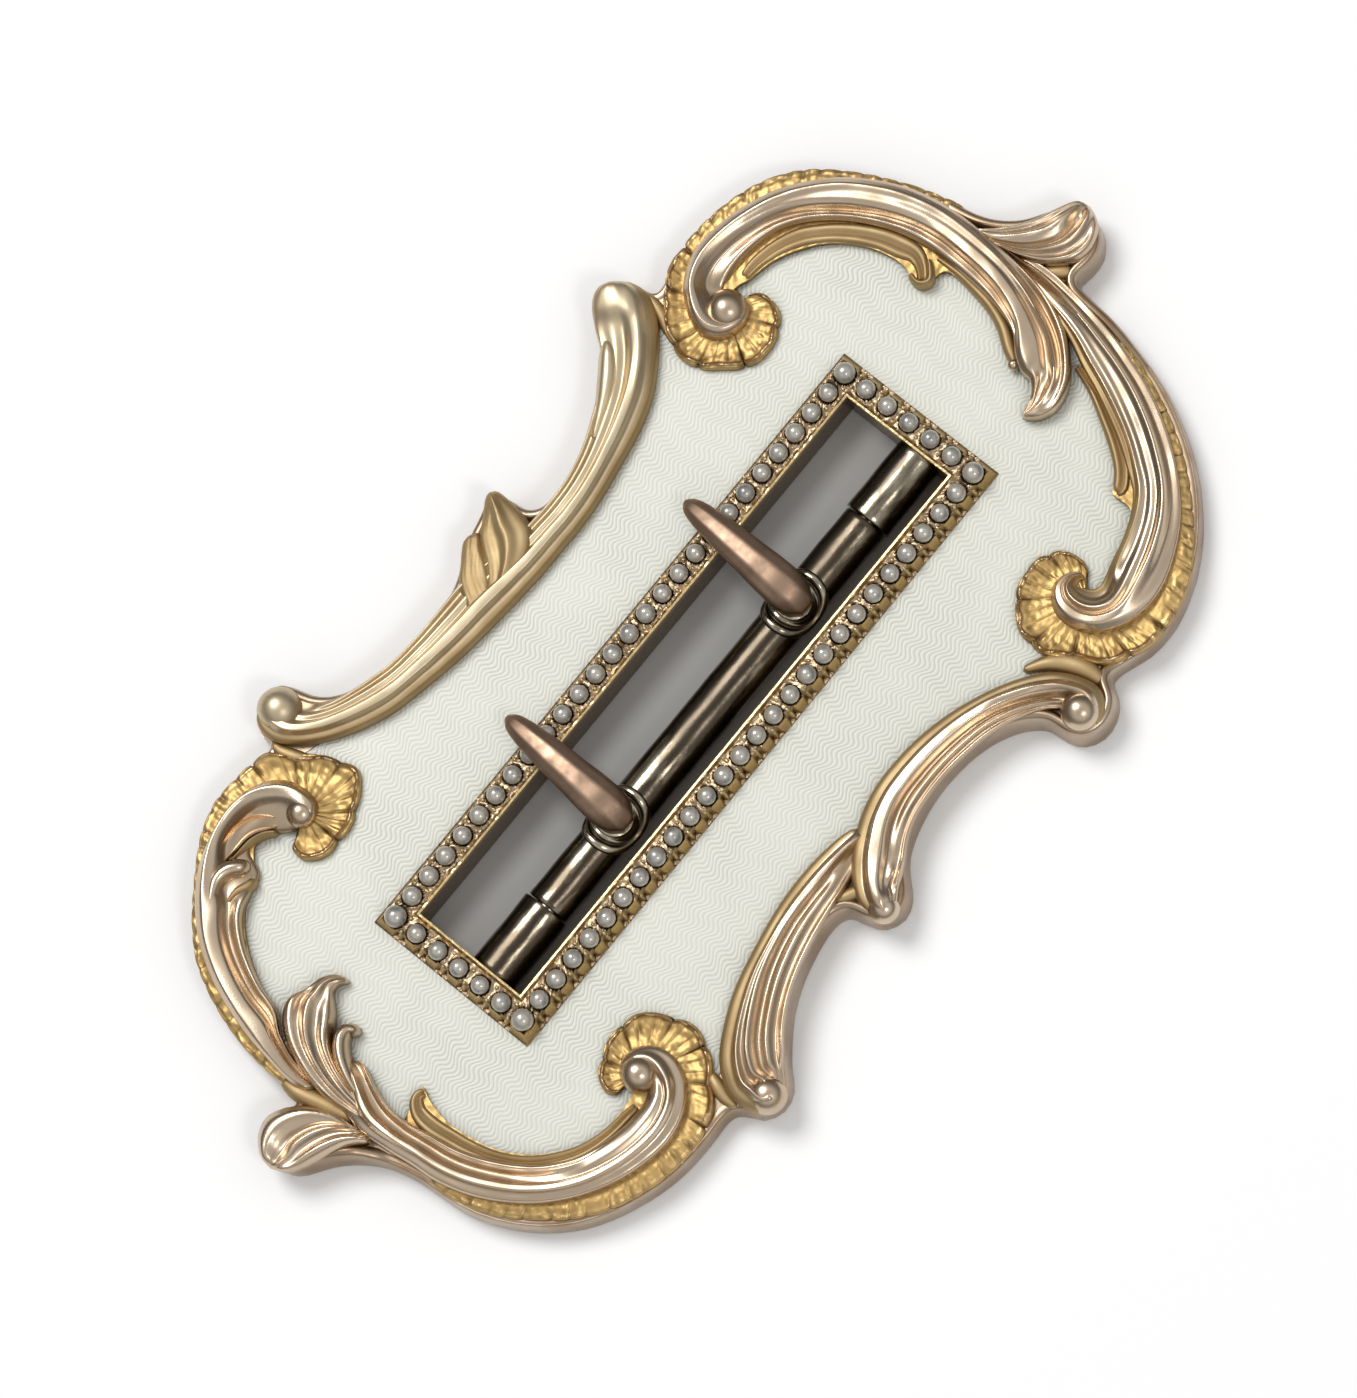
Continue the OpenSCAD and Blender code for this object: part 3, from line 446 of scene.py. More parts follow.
# Tables of the frilled underlay: (outer x, outer y, inner x, inner y), then the shell round its eye
FRILLS = {
    "top_left": (
        [(-37, 3.4, -36.4, 3.5), (-37.1, 5.8, -35.8, 6.1), (-36.9, 8, -33.6, 8.4), (-36.4, 10.2, -32.9, 10),
         (-35.6, 12.4, -31.9, 11.8), (-34.4, 14.6, -30.6, 13.4), (-32.6, 16.5, -29.2, 14.4),
         (-30.8, 17.9, -27.6, 14.9), (-28.9, 19.2, -26.9, 15.7), (-27.2, 20.1, -26, 16.4),
         (-25.2, 20.6, -24.8, 16.4), (-23, 20.5, -23.4, 16)],
        [(-20.9, 20.1), (-20, 19.1), (-18.9, 17.6), (-18, 16.1), (-17.6, 14.4), (-18.7, 13.2), (-20.2, 12.4),
         (-21.8, 12.1), (-23.4, 12.2), (-24.6, 13.2), (-24.7, 14.3)],
        (-22.2, 15.2),
    ),
    "top_right": (
        [(35.2, -0.8, 33, -0.4), (35.6, 1.2, 33.2, 1.2), (36, 3.2, 33.5, 3), (36.9, 5.2, 33.4, 4.9),
         (37.7, 6.9, 31.5, 5.5), (37.4, 8.4, 32, 7.4), (36.9, 10.2, 31.8, 9.2), (36, 12.4, 31.1, 11),
         (35, 14.4, 29.8, 12.7), (33.6, 16.5, 28.2, 13.9), (31.9, 18.1, 26.8, 14.6),
         (29.9, 19.2, 25.6, 14.9), (27.6, 19.9, 24.7, 15.1), (25.2, 20.2, 23.9, 15.4)],
        [(22.8, 20.1), (21, 19.5), (19.7, 18.4), (18.4, 17.2), (17.8, 15.6), (17.9, 13.9), (18.9, 12.6),
         (20, 11.3), (21.4, 10.9), (23.2, 11.1), (24.4, 12.1), (24.7, 13.5), (24.3, 14.3)],
        (22.2, 14.9),
    ),
    "bottom_left": (
        [(-34.2, -3.6, -31.3, -3.1), (-34.7, -4.6, -31.8, -4.3), (-35.3, -6, -32.1, -6),
         (-35.9, -8, -31.9, -7.9), (-35.7, -10, -31.4, -9.8), (-34.9, -12.4, -30.2, -11.8),
         (-33.5, -14.6, -28.6, -13.3), (-31.8, -16.6, -27.2, -14.1), (-29.8, -18.1, -25.8, -14.5),
         (-27.4, -19.2, -24.8, -14.6), (-25, -19.8, -23.8, -14.6), (-22.6, -19.9, -22.6, -14.4)],
        [(-20.6, -19.4), (-18.9, -18.1), (-17.4, -16.5), (-16.8, -14.6), (-17.5, -12.5), (-18.9, -11),
         (-21, -10.8), (-23, -11.5), (-23.9, -12.8), (-23.7, -13.6)],
        (-21.6, -13.9),
    ),
    "bottom_right": (
        [(38, 0.6, 36.9, 0.8), (38, -2, 36.3, -1.8), (37.9, -4.4, 35.6, -4.2), (37.4, -6.8, 34.4, -6.6),
         (36.7, -9.2, 32.9, -8.4), (35.8, -11.6, 32, -10.4), (34.6, -14, 30.9, -12.2),
         (33.1, -16.2, 29.9, -13.2), (31.3, -18.2, 28.5, -13.7), (29.2, -20.1, 28.3, -15.4),
         (27, -21.5, 26.6, -16.6), (24.6, -22.2, 24.8, -17)],
        [(22.4, -22.3), (20.3, -21.6), (19, -20.5), (18.3, -19.2), (17.4, -17.7), (17, -16.4), (17.2, -15),
         (17.9, -14), (19.1, -12.9), (20.6, -12.6), (22.1, -12.6), (23.3, -13.5), (23.7, -14.8),
         (23.6, -15.6)],
        (21.8, -16.8),
    ),
}

# Cast bodies. Each has guide rails (outer x, outer y, inner x, inner y), from which share across it is
# matte yellow, up to which place and share across it is punched with dots, if it is, and its relief: (place
# along the rails, top at the outer rail, share across and top of each crest or hollow in turn, top at the
# inner rail). A place of 2.5 is halfway from the third rail row to the fourth.
NOWHERE = 2
ALL_OVER = -1
BODIES = {
    "scroll_top_left": [(
        [(-36.4, 2.6, -35.6, 2.2), (-36.7, 4, -35.4, 4.6), (-36.5, 6, -34.6, 6.6), (-36.2, 8, -33.5, 8),
         (-35.7, 10, -33, 9.7), (-35, 12, -32.2, 11.4), (-34.1, 13.8, -31.2, 12.9), (-33, 15.4, -30, 14),
         (-31.4, 17, -28.6, 14.5), (-29.5, 18.3, -27.2, 15), (-27.5, 19, -26.5, 16.4),
         (-25.5, 19.35, -25.5, 16.5), (-23.8, 19.2, -24.6, 16.1), (-22.3, 18.6, -23.9, 15.3),
         (-21.3, 17.6, -23.3, 14.9), (-20.9, 16.4, -22.9, 14.6), (-21, 15, -22.6, 14.4),
         (-21.7, 14.2, -22.5, 14.3)],
        NOWHERE, None,
        [(0, 3.2, 0.08, 3.4, 0.25, 3.7, 0.5, 3.6, 0.8, 3.3, 0.92, 3.3, 3),
         (2, 3.4, 0.06, 4, 0.2, 4.25, 0.52, 4.2, 0.78, 3.45, 0.92, 3.7, 3.4),
         (4, 3.5, 0.06, 4, 0.2, 4.4, 0.48, 4.3, 0.72, 3.4, 0.92, 3.8, 3.5),
         (6, 3.5, 0.06, 4, 0.2, 4.4, 0.45, 4.3, 0.68, 3.45, 0.91, 3.8, 3.5),
         (7.5, 3.5, 0.06, 4, 0.2, 4.4, 0.44, 4.3, 0.66, 3.55, 0.9, 3.8, 3.4),
         (8.6, 3.5, 0.05, 4, 0.15, 4.4, 0.3, 4.2, 0.5, 3.5, 0.85, 3.3, 3),
         (10, 3.5, 0.04, 4, 0.12, 4.4, 0.26, 4.2, 0.45, 3.5, 0.8, 3.3, 3),
         (12, 3.5, 0.04, 4, 0.12, 4.4, 0.26, 4.15, 0.45, 3.5, 0.8, 3.3, 3),
         (13.5, 3.5, 0.06, 4, 0.18, 4.4, 0.34, 4.3, 0.5, 3.9, 0.8, 3.5, 3.1),
         (15.5, 3.4, 0.08, 3.9, 0.25, 4.3, 0.5, 4.35, 0.75, 4.1, 0.9, 3.8, 3.4),
         (17, 3.2, 0.1, 3.6, 0.3, 3.9, 0.5, 4, 0.7, 3.9, 0.9, 3.6, 3.2)],
    )],
    "scroll_top_right": [(
        [(28.7, -5.7, 28.9, -5.5), (29.4, -6.7, 29.7, -5.4), (30.8, -7.2, 30.4, -5.1),
         (32.6, -6.7, 31, -4.5), (34.2, -5.4, 31.1, -3.7), (35.4, -3.8, 31.7, -2.7),
         (36.3, -1.6, 32.9, -1.4), (36.7, 0.4, 33.5, 0.4), (36.9, 2.4, 33.8, 2.4), (37, 4.4, 33.9, 4.4),
         (37, 6.4, 33.9, 6.4), (36.8, 8.4, 33.7, 8.2), (36.3, 10.4, 33.2, 9.9), (35.4, 12.4, 32.4, 11.6),
         (34.2, 14.3, 31.4, 13.1), (32.6, 16, 30.1, 14.5), (30.7, 17.4, 28.6, 15.5), (28.5, 18.4, 27, 16),
         (26.2, 19, 25.4, 16.2), (24, 19.1, 24.1, 16.2), (22, 18.4, 23.2, 16.1), (20.5, 17, 22.6, 15.7),
         (19.8, 15.3, 22.2, 15.2), (20.3, 13.9, 22.1, 14.8), (21.6, 13.2, 22.2, 14.6),
         (23, 13.4, 22.4, 14.6), (23.8, 14.4, 22.7, 14.8)],
        NOWHERE, (7, 0.3),
        [(0, 3.1, 0.15, 3.4, 0.3, 3.4, 0.5, 3.4, 0.6, 3.3, 0.7, 3.3, 0.8, 3.3, 0.9, 3.2, 0.95, 3.2, 3.1),
         (1, 3.3, 0.12, 3.7, 0.3, 3.8, 0.5, 3.8, 0.6, 3.5, 0.7, 3.4, 0.8, 3.5, 0.9, 3.5, 0.95, 3.4, 3.1),
         (2, 3.4, 0.14, 3.9, 0.3, 3.85, 0.5, 4, 0.68, 3.5, 0.78, 3.5, 0.86, 3.7, 0.93, 3.6, 0.97, 3.5, 3.2),
         (3, 3.5, 0.12, 4, 0.24, 3.8, 0.38, 4.2, 0.55, 3.7, 0.7, 3.65, 0.84, 3.95, 0.93, 3.8, 0.97, 3.7,
          3.3),
         (4, 3.5, 0.1, 4, 0.2, 3.55, 0.34, 4.25, 0.48, 3.7, 0.62, 4.1, 0.84, 4.25, 0.95, 4, 0.98, 3.9, 3.4),
         (5, 3.5, 0.08, 3.9, 0.19, 3.4, 0.32, 4.2, 0.43, 3.75, 0.56, 4.2, 0.84, 4.3, 0.94, 4.1, 0.97, 4,
          3.4),
         (6, 3.4, 0.06, 3.8, 0.19, 3.4, 0.36, 4.2, 0.46, 3.9, 0.58, 4.3, 0.8, 4.4, 0.92, 3.9, 0.96, 3.9,
          3.4),
         (7, 3.5, 0.05, 3.8, 0.15, 3.6, 0.3, 4.2, 0.4, 4.1, 0.52, 4.35, 0.7, 4.4, 0.84, 3.7, 0.92, 3.8, 3.4),
         (8, 3.6, 0.05, 3.9, 0.12, 3.95, 0.25, 4.25, 0.36, 4.2, 0.46, 4.35, 0.64, 4.4, 0.78, 3.7, 0.87, 3.8,
          3.4),
         (10, 3.6, 0.05, 3.95, 0.12, 4.15, 0.23, 4.35, 0.36, 4.3, 0.45, 4.35, 0.61, 4.3, 0.74, 3.7,
          0.86, 3.85, 3.4),
         (12, 3.6, 0.04, 3.95, 0.12, 4.2, 0.24, 4.4, 0.38, 4.32, 0.5, 4.35, 0.65, 4.2, 0.78, 3.6, 0.9, 3.85,
          3.4),
         (14, 3.6, 0.04, 3.95, 0.12, 4.2, 0.22, 4.4, 0.4, 4.32, 0.5, 4.33, 0.64, 4.2, 0.79, 3.5, 0.9, 3.85,
          3.4),
         (16, 3.6, 0.04, 3.95, 0.12, 4.2, 0.25, 4.4, 0.4, 4.3, 0.48, 4.25, 0.58, 4.05, 0.73, 3.6, 0.88, 3.85,
          3.4),
         (18, 3.6, 0.04, 3.95, 0.12, 4.2, 0.24, 4.4, 0.33, 4.3, 0.4, 4.2, 0.5, 3.95, 0.64, 3.6, 0.84, 3.75,
          3.3),
         (20, 3.6, 0.05, 3.95, 0.12, 4.2, 0.22, 4.4, 0.31, 4.3, 0.37, 4.1, 0.46, 3.8, 0.62, 3.4, 0.86, 3.3,
          3.2),
         (21, 3.5, 0.06, 3.9, 0.15, 4.2, 0.25, 4.35, 0.38, 4.25, 0.46, 4.1, 0.6, 3.8, 0.75, 3.5, 0.9, 3.4,
          3.3),
         (23, 3.4, 0.08, 3.8, 0.2, 4.1, 0.32, 4.2, 0.42, 4.15, 0.5, 4.1, 0.6, 4, 0.75, 3.8, 0.9, 3.6, 3.3),
         (26, 3.2, 0.1, 3.5, 0.2, 3.6, 0.32, 3.7, 0.42, 3.7, 0.5, 3.7, 0.6, 3.7, 0.75, 3.6, 0.9, 3.4, 3.2)],
    )],
    "scroll_bottom_left": [(
        [(-35.6, 2.2, -32, 1.9), (-36, 0, -33, 0), (-36.3, -2, -33.7, -2), (-36.1, -4, -33.75, -4),
         (-35.8, -6, -33.4, -5.8), (-35.6, -8, -33, -7.8), (-35, -10.2, -32.3, -9.6),
         (-33.9, -12.4, -31.2, -11.6), (-32.4, -14.4, -30, -13.1), (-30.5, -16.1, -28.5, -14.3),
         (-28.3, -17.4, -26.8, -15), (-26, -18.2, -25.1, -15.4), (-23.8, -18.5, -23.5, -15.5),
         (-21.8, -18.1, -22.3, -15.3), (-20.2, -17, -21.6, -14.9), (-19.3, -15.4, -21.3, -14.4),
         (-19.4, -13.8, -21.3, -14), (-20.4, -12.7, -21.5, -13.7), (-21.7, -12.5, -21.7, -13.7),
         (-22.6, -13.2, -22, -13.8)],
        NOWHERE, None,
        [(0, 3.1, 0.08, 3.2, 0.3, 3.3, 0.64, 3.6, 0.78, 4.1, 0.88, 3.7, 0.92, 3.6, 0.95, 3.7, 0.97, 3.6,
          0.985, 3.6, 3.2),
         (1, 3.3, 0.08, 3.5, 0.3, 3.7, 0.5, 4.2, 0.62, 4.3, 0.76, 3.6, 0.86, 3.55, 0.94, 3.85, 0.96, 3.75,
          0.98, 3.8, 3.4),
         (2, 3.4, 0.08, 3.8, 0.25, 4, 0.4, 4.35, 0.5, 4.35, 0.64, 3.6, 0.8, 3.5, 0.9, 3.9, 0.93, 3.8,
          0.96, 3.85, 3.4),
         (4, 3.5, 0.08, 3.9, 0.23, 4, 0.32, 4.4, 0.44, 4.35, 0.56, 3.6, 0.7, 3.5, 0.83, 3.9, 0.87, 3.8,
          0.91, 3.85, 3.4),
         (7, 3.5, 0.08, 3.9, 0.23, 4, 0.31, 4.4, 0.43, 4.35, 0.54, 3.65, 0.68, 3.55, 0.8, 3.9, 0.84, 3.8,
          0.88, 3.85, 3.4),
         (9, 3.5, 0.08, 3.9, 0.22, 4, 0.3, 4.4, 0.43, 4.35, 0.51, 3.85, 0.68, 3.9, 0.82, 3.95, 0.86, 3.85,
          0.9, 3.85, 3.4),
         (11, 3.5, 0.08, 3.9, 0.24, 4, 0.34, 4.4, 0.43, 4.35, 0.5, 3.9, 0.68, 4.05, 0.86, 3.9, 0.9, 3.8,
          0.94, 3.7, 3.3),
         (13, 3.5, 0.08, 3.9, 0.26, 4, 0.4, 4.4, 0.5, 4.3, 0.58, 3.85, 0.72, 3.95, 0.86, 3.8, 0.9, 3.7,
          0.94, 3.6, 3.3),
         (14, 3.4, 0.08, 3.8, 0.26, 3.9, 0.48, 4.35, 0.58, 4.25, 0.68, 3.8, 0.78, 3.8, 0.86, 3.7, 0.9, 3.6,
          0.94, 3.5, 3.2),
         (15, 3.4, 0.1, 3.8, 0.28, 3.9, 0.55, 4.3, 0.66, 4.2, 0.75, 3.9, 0.82, 3.8, 0.88, 3.7, 0.92, 3.6,
          0.95, 3.5, 3.2),
         (17, 3.4, 0.12, 3.8, 0.3, 4, 0.5, 4.1, 0.6, 4.1, 0.7, 4, 0.8, 3.9, 0.88, 3.8, 0.92, 3.7, 0.95, 3.6,
          3.2),
         (19, 3.2, 0.12, 3.5, 0.3, 3.6, 0.5, 3.7, 0.6, 3.7, 0.7, 3.6, 0.8, 3.6, 0.88, 3.5, 0.92, 3.5,
          0.95, 3.4, 3.2)],
    ), (
        [(-35.6, -1.6, -34.9, -1.8), (-36, 0.8, -34.5, 0.2), (-35.9, 2.8, -34, 1.7),
         (-35.4, 4.6, -33.4, 2.9), (-34.6, 6.2, -32.7, 3.7), (-33.6, 7.3, -31.9, 4.2),
         (-32.4, 7.8, -31.3, 4.6), (-31.2, 7.3, -30.8, 5.1), (-30, 6.95, -30.2, 5.7),
         (-29.2, 6.3, -29.6, 5.7), (-28.85, 5.5, -29.1, 5.3)],
        NOWHERE, (10, 0.62),
        [(0, 3.6, 0.2, 3.9, 0.38, 3.9, 0.5, 4, 0.68, 4, 0.85, 4, 3.7),
         (1, 3.5, 0.2, 4, 0.38, 3.9, 0.5, 4.2, 0.68, 4.05, 0.84, 4.2, 3.7),
         (3, 3.5, 0.18, 4.1, 0.34, 3.95, 0.48, 4.35, 0.68, 4, 0.84, 4.25, 3.5),
         (5, 3.5, 0.16, 4.1, 0.32, 3.85, 0.48, 4.4, 0.68, 4, 0.85, 4.2, 3.4),
         (6, 3.4, 0.14, 4, 0.28, 3.6, 0.46, 4.35, 0.66, 4, 0.84, 4.15, 3.4),
         (7, 3.3, 0.1, 3.6, 0.2, 3.6, 0.4, 4.2, 0.64, 3.9, 0.84, 4, 3.3),
         (8, 3.4, 0.12, 3.8, 0.24, 3.9, 0.42, 4.1, 0.64, 3.8, 0.84, 3.8, 3.3),
         (9.2, 3.2, 0.15, 3.6, 0.3, 3.7, 0.48, 3.8, 0.64, 3.6, 0.84, 3.5, 3.1),
         (10, 3, 0.15, 3.2, 0.3, 3.3, 0.48, 3.3, 0.64, 3.3, 0.84, 3.2, 3)],
    )],
    "scroll_bottom_right": [(
        [(37, 3.2, 36.8, 3.2), (37.5, 1.4, 36.5, 1.3), (37.8, -0.8, 36.1, -0.6), (37.6, -3, 35.6, -2.8),
         (37.3, -5, 34.8, -4.9), (36.9, -7, 33.9, -6.7), (36.3, -9, 33.2, -8.4), (35.6, -11, 32.3, -10.2),
         (34.6, -13, 31.3, -12), (33.3, -15, 30.3, -13.5), (31.7, -16.9, 29.3, -14.8),
         (29.9, -18.5, 27.9, -15.7), (28, -19.6, 26.3, -16.3), (25.9, -20.4, 25, -16.6),
         (23.8, -20.6, 24, -16.9), (21.8, -20.1, 23.2, -17.1), (20.3, -18.9, 22.7, -17),
         (19.6, -17.3, 22.4, -16.7), (19.8, -15.7, 22.2, -16.3), (20.9, -14.7, 22.1, -16),
         (22.2, -14.8, 22.4, -15.8), (23.1, -15.6, 22.8, -16)],
        0.84, None,
        [(0, 3.1, 0.06, 3.2, 0.3, 3.3, 0.5, 3.9, 0.6, 3.6, 0.7, 3.4, 0.8, 3.4, 0.87, 3.4, 0.92, 3.4,
          0.96, 3.3, 3.1),
         (2, 3.1, 0.06, 3.4, 0.28, 3.3, 0.5, 4.05, 0.62, 3.6, 0.75, 3.4, 0.85, 3.4, 0.9, 3.4, 0.94, 3.4,
          0.97, 3.4, 3.1),
         (4, 3.1, 0.05, 3.4, 0.19, 3.4, 0.4, 4.3, 0.5, 4.1, 0.58, 4, 0.68, 3.9, 0.78, 3.95, 0.87, 3.6,
          0.95, 3.55, 3.2),
         (6, 3.1, 0.05, 3.4, 0.17, 3.4, 0.33, 4.4, 0.46, 4.15, 0.55, 4.1, 0.68, 3.95, 0.79, 4.05, 0.87, 3.6,
          0.95, 3.6, 3.2),
         (8, 3.1, 0.05, 3.4, 0.17, 3.4, 0.33, 4.4, 0.48, 4.1, 0.56, 4.1, 0.7, 3.9, 0.79, 4.05, 0.86, 3.6,
          0.94, 3.65, 3.2),
         (10, 3.2, 0.05, 3.5, 0.17, 3.5, 0.35, 4.4, 0.5, 4.1, 0.58, 4.1, 0.72, 3.9, 0.84, 4.05, 0.93, 3.6,
          0.98, 3.5, 3.2),
         (12, 3.3, 0.06, 3.6, 0.2, 3.7, 0.38, 4.4, 0.52, 4, 0.6, 4.05, 0.74, 3.85, 0.88, 4, 0.94, 3.6,
          0.98, 3.4, 3.1),
         (13.5, 3.4, 0.07, 3.7, 0.22, 3.9, 0.4, 4.35, 0.5, 3.9, 0.6, 4, 0.74, 3.7, 0.86, 3.7, 0.92, 3.5,
          0.97, 3.3, 3.1),
         (15, 3.4, 0.07, 3.8, 0.2, 4.1, 0.32, 4.15, 0.4, 3.85, 0.5, 4.25, 0.64, 4, 0.76, 3.4, 0.84, 3.3,
          0.92, 3.2, 3.1),
         (16.5, 3.4, 0.07, 3.8, 0.2, 4.15, 0.32, 4.15, 0.4, 3.8, 0.52, 4.2, 0.66, 3.9, 0.76, 3.4, 0.84, 3.3,
          0.92, 3.2, 3.1),
         (18.5, 3.4, 0.08, 3.8, 0.22, 4.1, 0.36, 4.1, 0.46, 3.8, 0.58, 4, 0.7, 3.7, 0.8, 3.4, 0.87, 3.3,
          0.94, 3.2, 3.1),
         (21, 3.1, 0.08, 3.3, 0.22, 3.5, 0.36, 3.5, 0.46, 3.4, 0.58, 3.5, 0.7, 3.4, 0.8, 3.3, 0.87, 3.2,
          0.94, 3.2, 3.1)],
    )],
    "side_scroll_top": [(
        [(-17.6, 22.6, -18.4, 22.5), (-16.5, 22.1, -19.4, 21.8), (-16.1, 21, -19.8, 20.8),
         (-16, 19.8, -19.5, 19.5), (-14.9, 18.6, -18.3, 18), (-12.8, 17.7, -16.4, 16.5),
         (-10.5, 17.1, -13.6, 15.1), (-8, 16.9, -10.4, 14.3), (-5.5, 16.9, -7, 13.7), (-3.5, 16.9, -4, 13.4),
         (-1.5, 16.5, -1.4, 13.2), (0.5, 16.1, 0.6, 13.1), (2.6, 15.9, 2.8, 13.1), (4.4, 15.8, 4.8, 13.1),
         (6.4, 15.9, 7, 13.3), (8.6, 16.4, 9.4, 13.7), (10.8, 17.3, 12, 14.2), (12.9, 18.4, 14.4, 15),
         (14.6, 19.7, 16.4, 16.2), (15.7, 21.1, 18, 17.4), (16.6, 22.1, 19.2, 18.7), (17.4, 22.6, 19.8, 20),
         (18.1, 22.7, 19.7, 21.2), (18.6, 22.6, 19.3, 22)],
        0.84, None,
        [(0, 3.1, 0.1, 3.2, 0.2, 3.2, 0.3, 3.3, 0.42, 3.4, 0.56, 3.7, 0.7, 3.7, 0.82, 3.5, 0.91, 3.4, 3),
         (1.5, 3.1, 0.1, 3.2, 0.2, 3.2, 0.3, 3.3, 0.42, 3.4, 0.6, 4, 0.72, 4.1, 0.84, 3.6, 0.92, 3.5, 3.1),
         (3, 3.1, 0.2, 3.2, 0.28, 3.3, 0.38, 3.6, 0.48, 3.6, 0.62, 4.1, 0.74, 4.1, 0.84, 3.6, 0.92, 3.5,
          3.1),
         (4, 3.2, 0.14, 3.6, 0.22, 3.5, 0.35, 3.75, 0.46, 3.65, 0.58, 4.2, 0.73, 4.15, 0.83, 3.6, 0.92, 3.55,
          3.1),
         (6, 3.4, 0.06, 3.75, 0.14, 3.5, 0.3, 3.8, 0.42, 3.7, 0.54, 4.25, 0.71, 4.2, 0.81, 3.6, 0.91, 3.55,
          3.1),
         (12, 3.4, 0.06, 3.75, 0.14, 3.5, 0.3, 3.8, 0.42, 3.7, 0.54, 4.25, 0.7, 4.2, 0.8, 3.6, 0.9, 3.55,
          3.1),
         (16, 3.4, 0.05, 3.7, 0.13, 3.55, 0.3, 3.8, 0.43, 3.7, 0.56, 4.25, 0.68, 4.2, 0.8, 3.65, 0.9, 3.55,
          3.1),
         (18, 3.3, 0.05, 3.6, 0.13, 3.6, 0.3, 3.8, 0.44, 3.7, 0.6, 4.2, 0.7, 4.25, 0.84, 3.8, 0.93, 3.55,
          3.1),
         (19.2, 3.3, 0.06, 3.6, 0.14, 3.7, 0.3, 3.85, 0.44, 3.8, 0.6, 4.15, 0.7, 4.25, 0.84, 3.8, 0.93, 3.55,
          3.1),
         (20, 3.5, 0.08, 4, 0.16, 4.15, 0.3, 4.3, 0.44, 4.35, 0.58, 4.35, 0.7, 4.25, 0.84, 3.8, 0.93, 3.5,
          3.1),
         (21.5, 3.5, 0.1, 4, 0.2, 4.2, 0.32, 4.3, 0.44, 4.3, 0.58, 4.2, 0.7, 4.1, 0.84, 3.8, 0.93, 3.5, 3.1),
         (23, 3.1, 0.12, 3.4, 0.22, 3.6, 0.34, 3.7, 0.44, 3.7, 0.58, 3.6, 0.7, 3.5, 0.84, 3.4, 0.93, 3.3,
          3)],
    ), (
        [(-5.4, 14.9, -4.4, 14.2), (-4.6, 15.5, -3, 14.7), (-4.2, 16.2, -2, 15.5), (-3.6, 17, -1.3, 16.4),
         (-2.6, 17.7, -0.8, 17.3), (-1.5, 18.5, -0.2, 18), (-0.7, 18.8, 0, 18.4)],
        ALL_OVER, (7, 0.9),
        [(0, 3.7, 0.2, 3.9, 0.4, 3.9, 0.6, 3.9, 0.8, 3.9, 3.7),
         (2, 3.5, 0.2, 3.85, 0.4, 3.92, 0.6, 3.9, 0.8, 3.88, 3.5),
         (4, 3.4, 0.2, 3.76, 0.4, 3.86, 0.6, 3.82, 0.8, 3.8, 3.4),
         (6, 3.2, 0.2, 3.4, 0.4, 3.5, 0.6, 3.4, 0.8, 3.4, 3.1)],
    ), (
        [(-3.6, 14.9, -2.2, 13.9), (-2.5, 15.5, -0.2, 14.2), (-1.6, 16.4, 1.4, 14.7), (-1, 17.2, 2.4, 15.5),
         (-0.4, 17.9, 2.75, 16.6), (0.6, 18.5, 2.9, 17.7), (1.6, 19.15, 2.95, 18.8),
         (2.2, 19.5, 2.85, 19.4)],
        ALL_OVER, (8, 0.6),
        [(0, 3.6, 0.2, 4, 0.36, 4.05, 0.5, 4.2, 0.68, 4.1, 0.84, 3.9, 3.6),
         (2, 3.5, 0.18, 3.85, 0.34, 3.95, 0.52, 4.3, 0.7, 4.1, 0.86, 4, 3.4),
         (4, 3.4, 0.18, 3.8, 0.34, 3.9, 0.52, 4.25, 0.7, 4, 0.86, 3.85, 3.3),
         (6, 3.3, 0.18, 3.75, 0.34, 3.95, 0.52, 4.15, 0.7, 3.8, 0.86, 3.6, 3.1),
         (7, 3.6, 0.18, 3.9, 0.34, 3.9, 0.52, 3.8, 0.7, 3.6, 0.86, 3.4, 3.2)],
    )],
    "side_scroll_bottom": [(
        [(-16.8, -22.5, -17.7, -22.5), (-15.9, -21.9, -18.7, -21.7), (-15.2, -21.2, -19, -20.4),
         (-14.3, -20.5, -18.8, -19.2), (-13, -19.5, -17.6, -17.6), (-11.2, -18.5, -15.6, -16.3),
         (-9.2, -17.8, -13, -15.2), (-7, -17.3, -10, -14.5), (-5, -17, -7, -14), (-3.4, -16.8, -3.8, -13.9),
         (-1.6, -16.4, -1.2, -14.2), (0.4, -15.8, 0.3, -14.7)],
        0.78, None,
        [(0, 3.1, 0.1, 3.3, 0.2, 3.4, 0.3, 3.5, 0.4, 3.6, 0.5, 3.8, 0.58, 3.8, 0.66, 3.8, 0.78, 3.5,
          0.88, 3.3, 3),
         (1, 3.1, 0.06, 3.4, 0.16, 3.4, 0.24, 3.5, 0.32, 3.6, 0.44, 4.1, 0.56, 4.2, 0.68, 4.1, 0.82, 3.7,
          0.9, 3.5, 3.1),
         (2, 3.2, 0.05, 3.5, 0.1, 3.5, 0.18, 3.6, 0.27, 3.4, 0.4, 4, 0.54, 3.5, 0.68, 4.2, 0.8, 3.75,
          0.9, 3.6, 3.1),
         (3, 3.3, 0.03, 3.75, 0.13, 3.5, 0.26, 3.8, 0.38, 3.45, 0.54, 4.15, 0.64, 3.8, 0.73, 4.15,
          0.82, 3.75, 0.9, 3.6, 3.1),
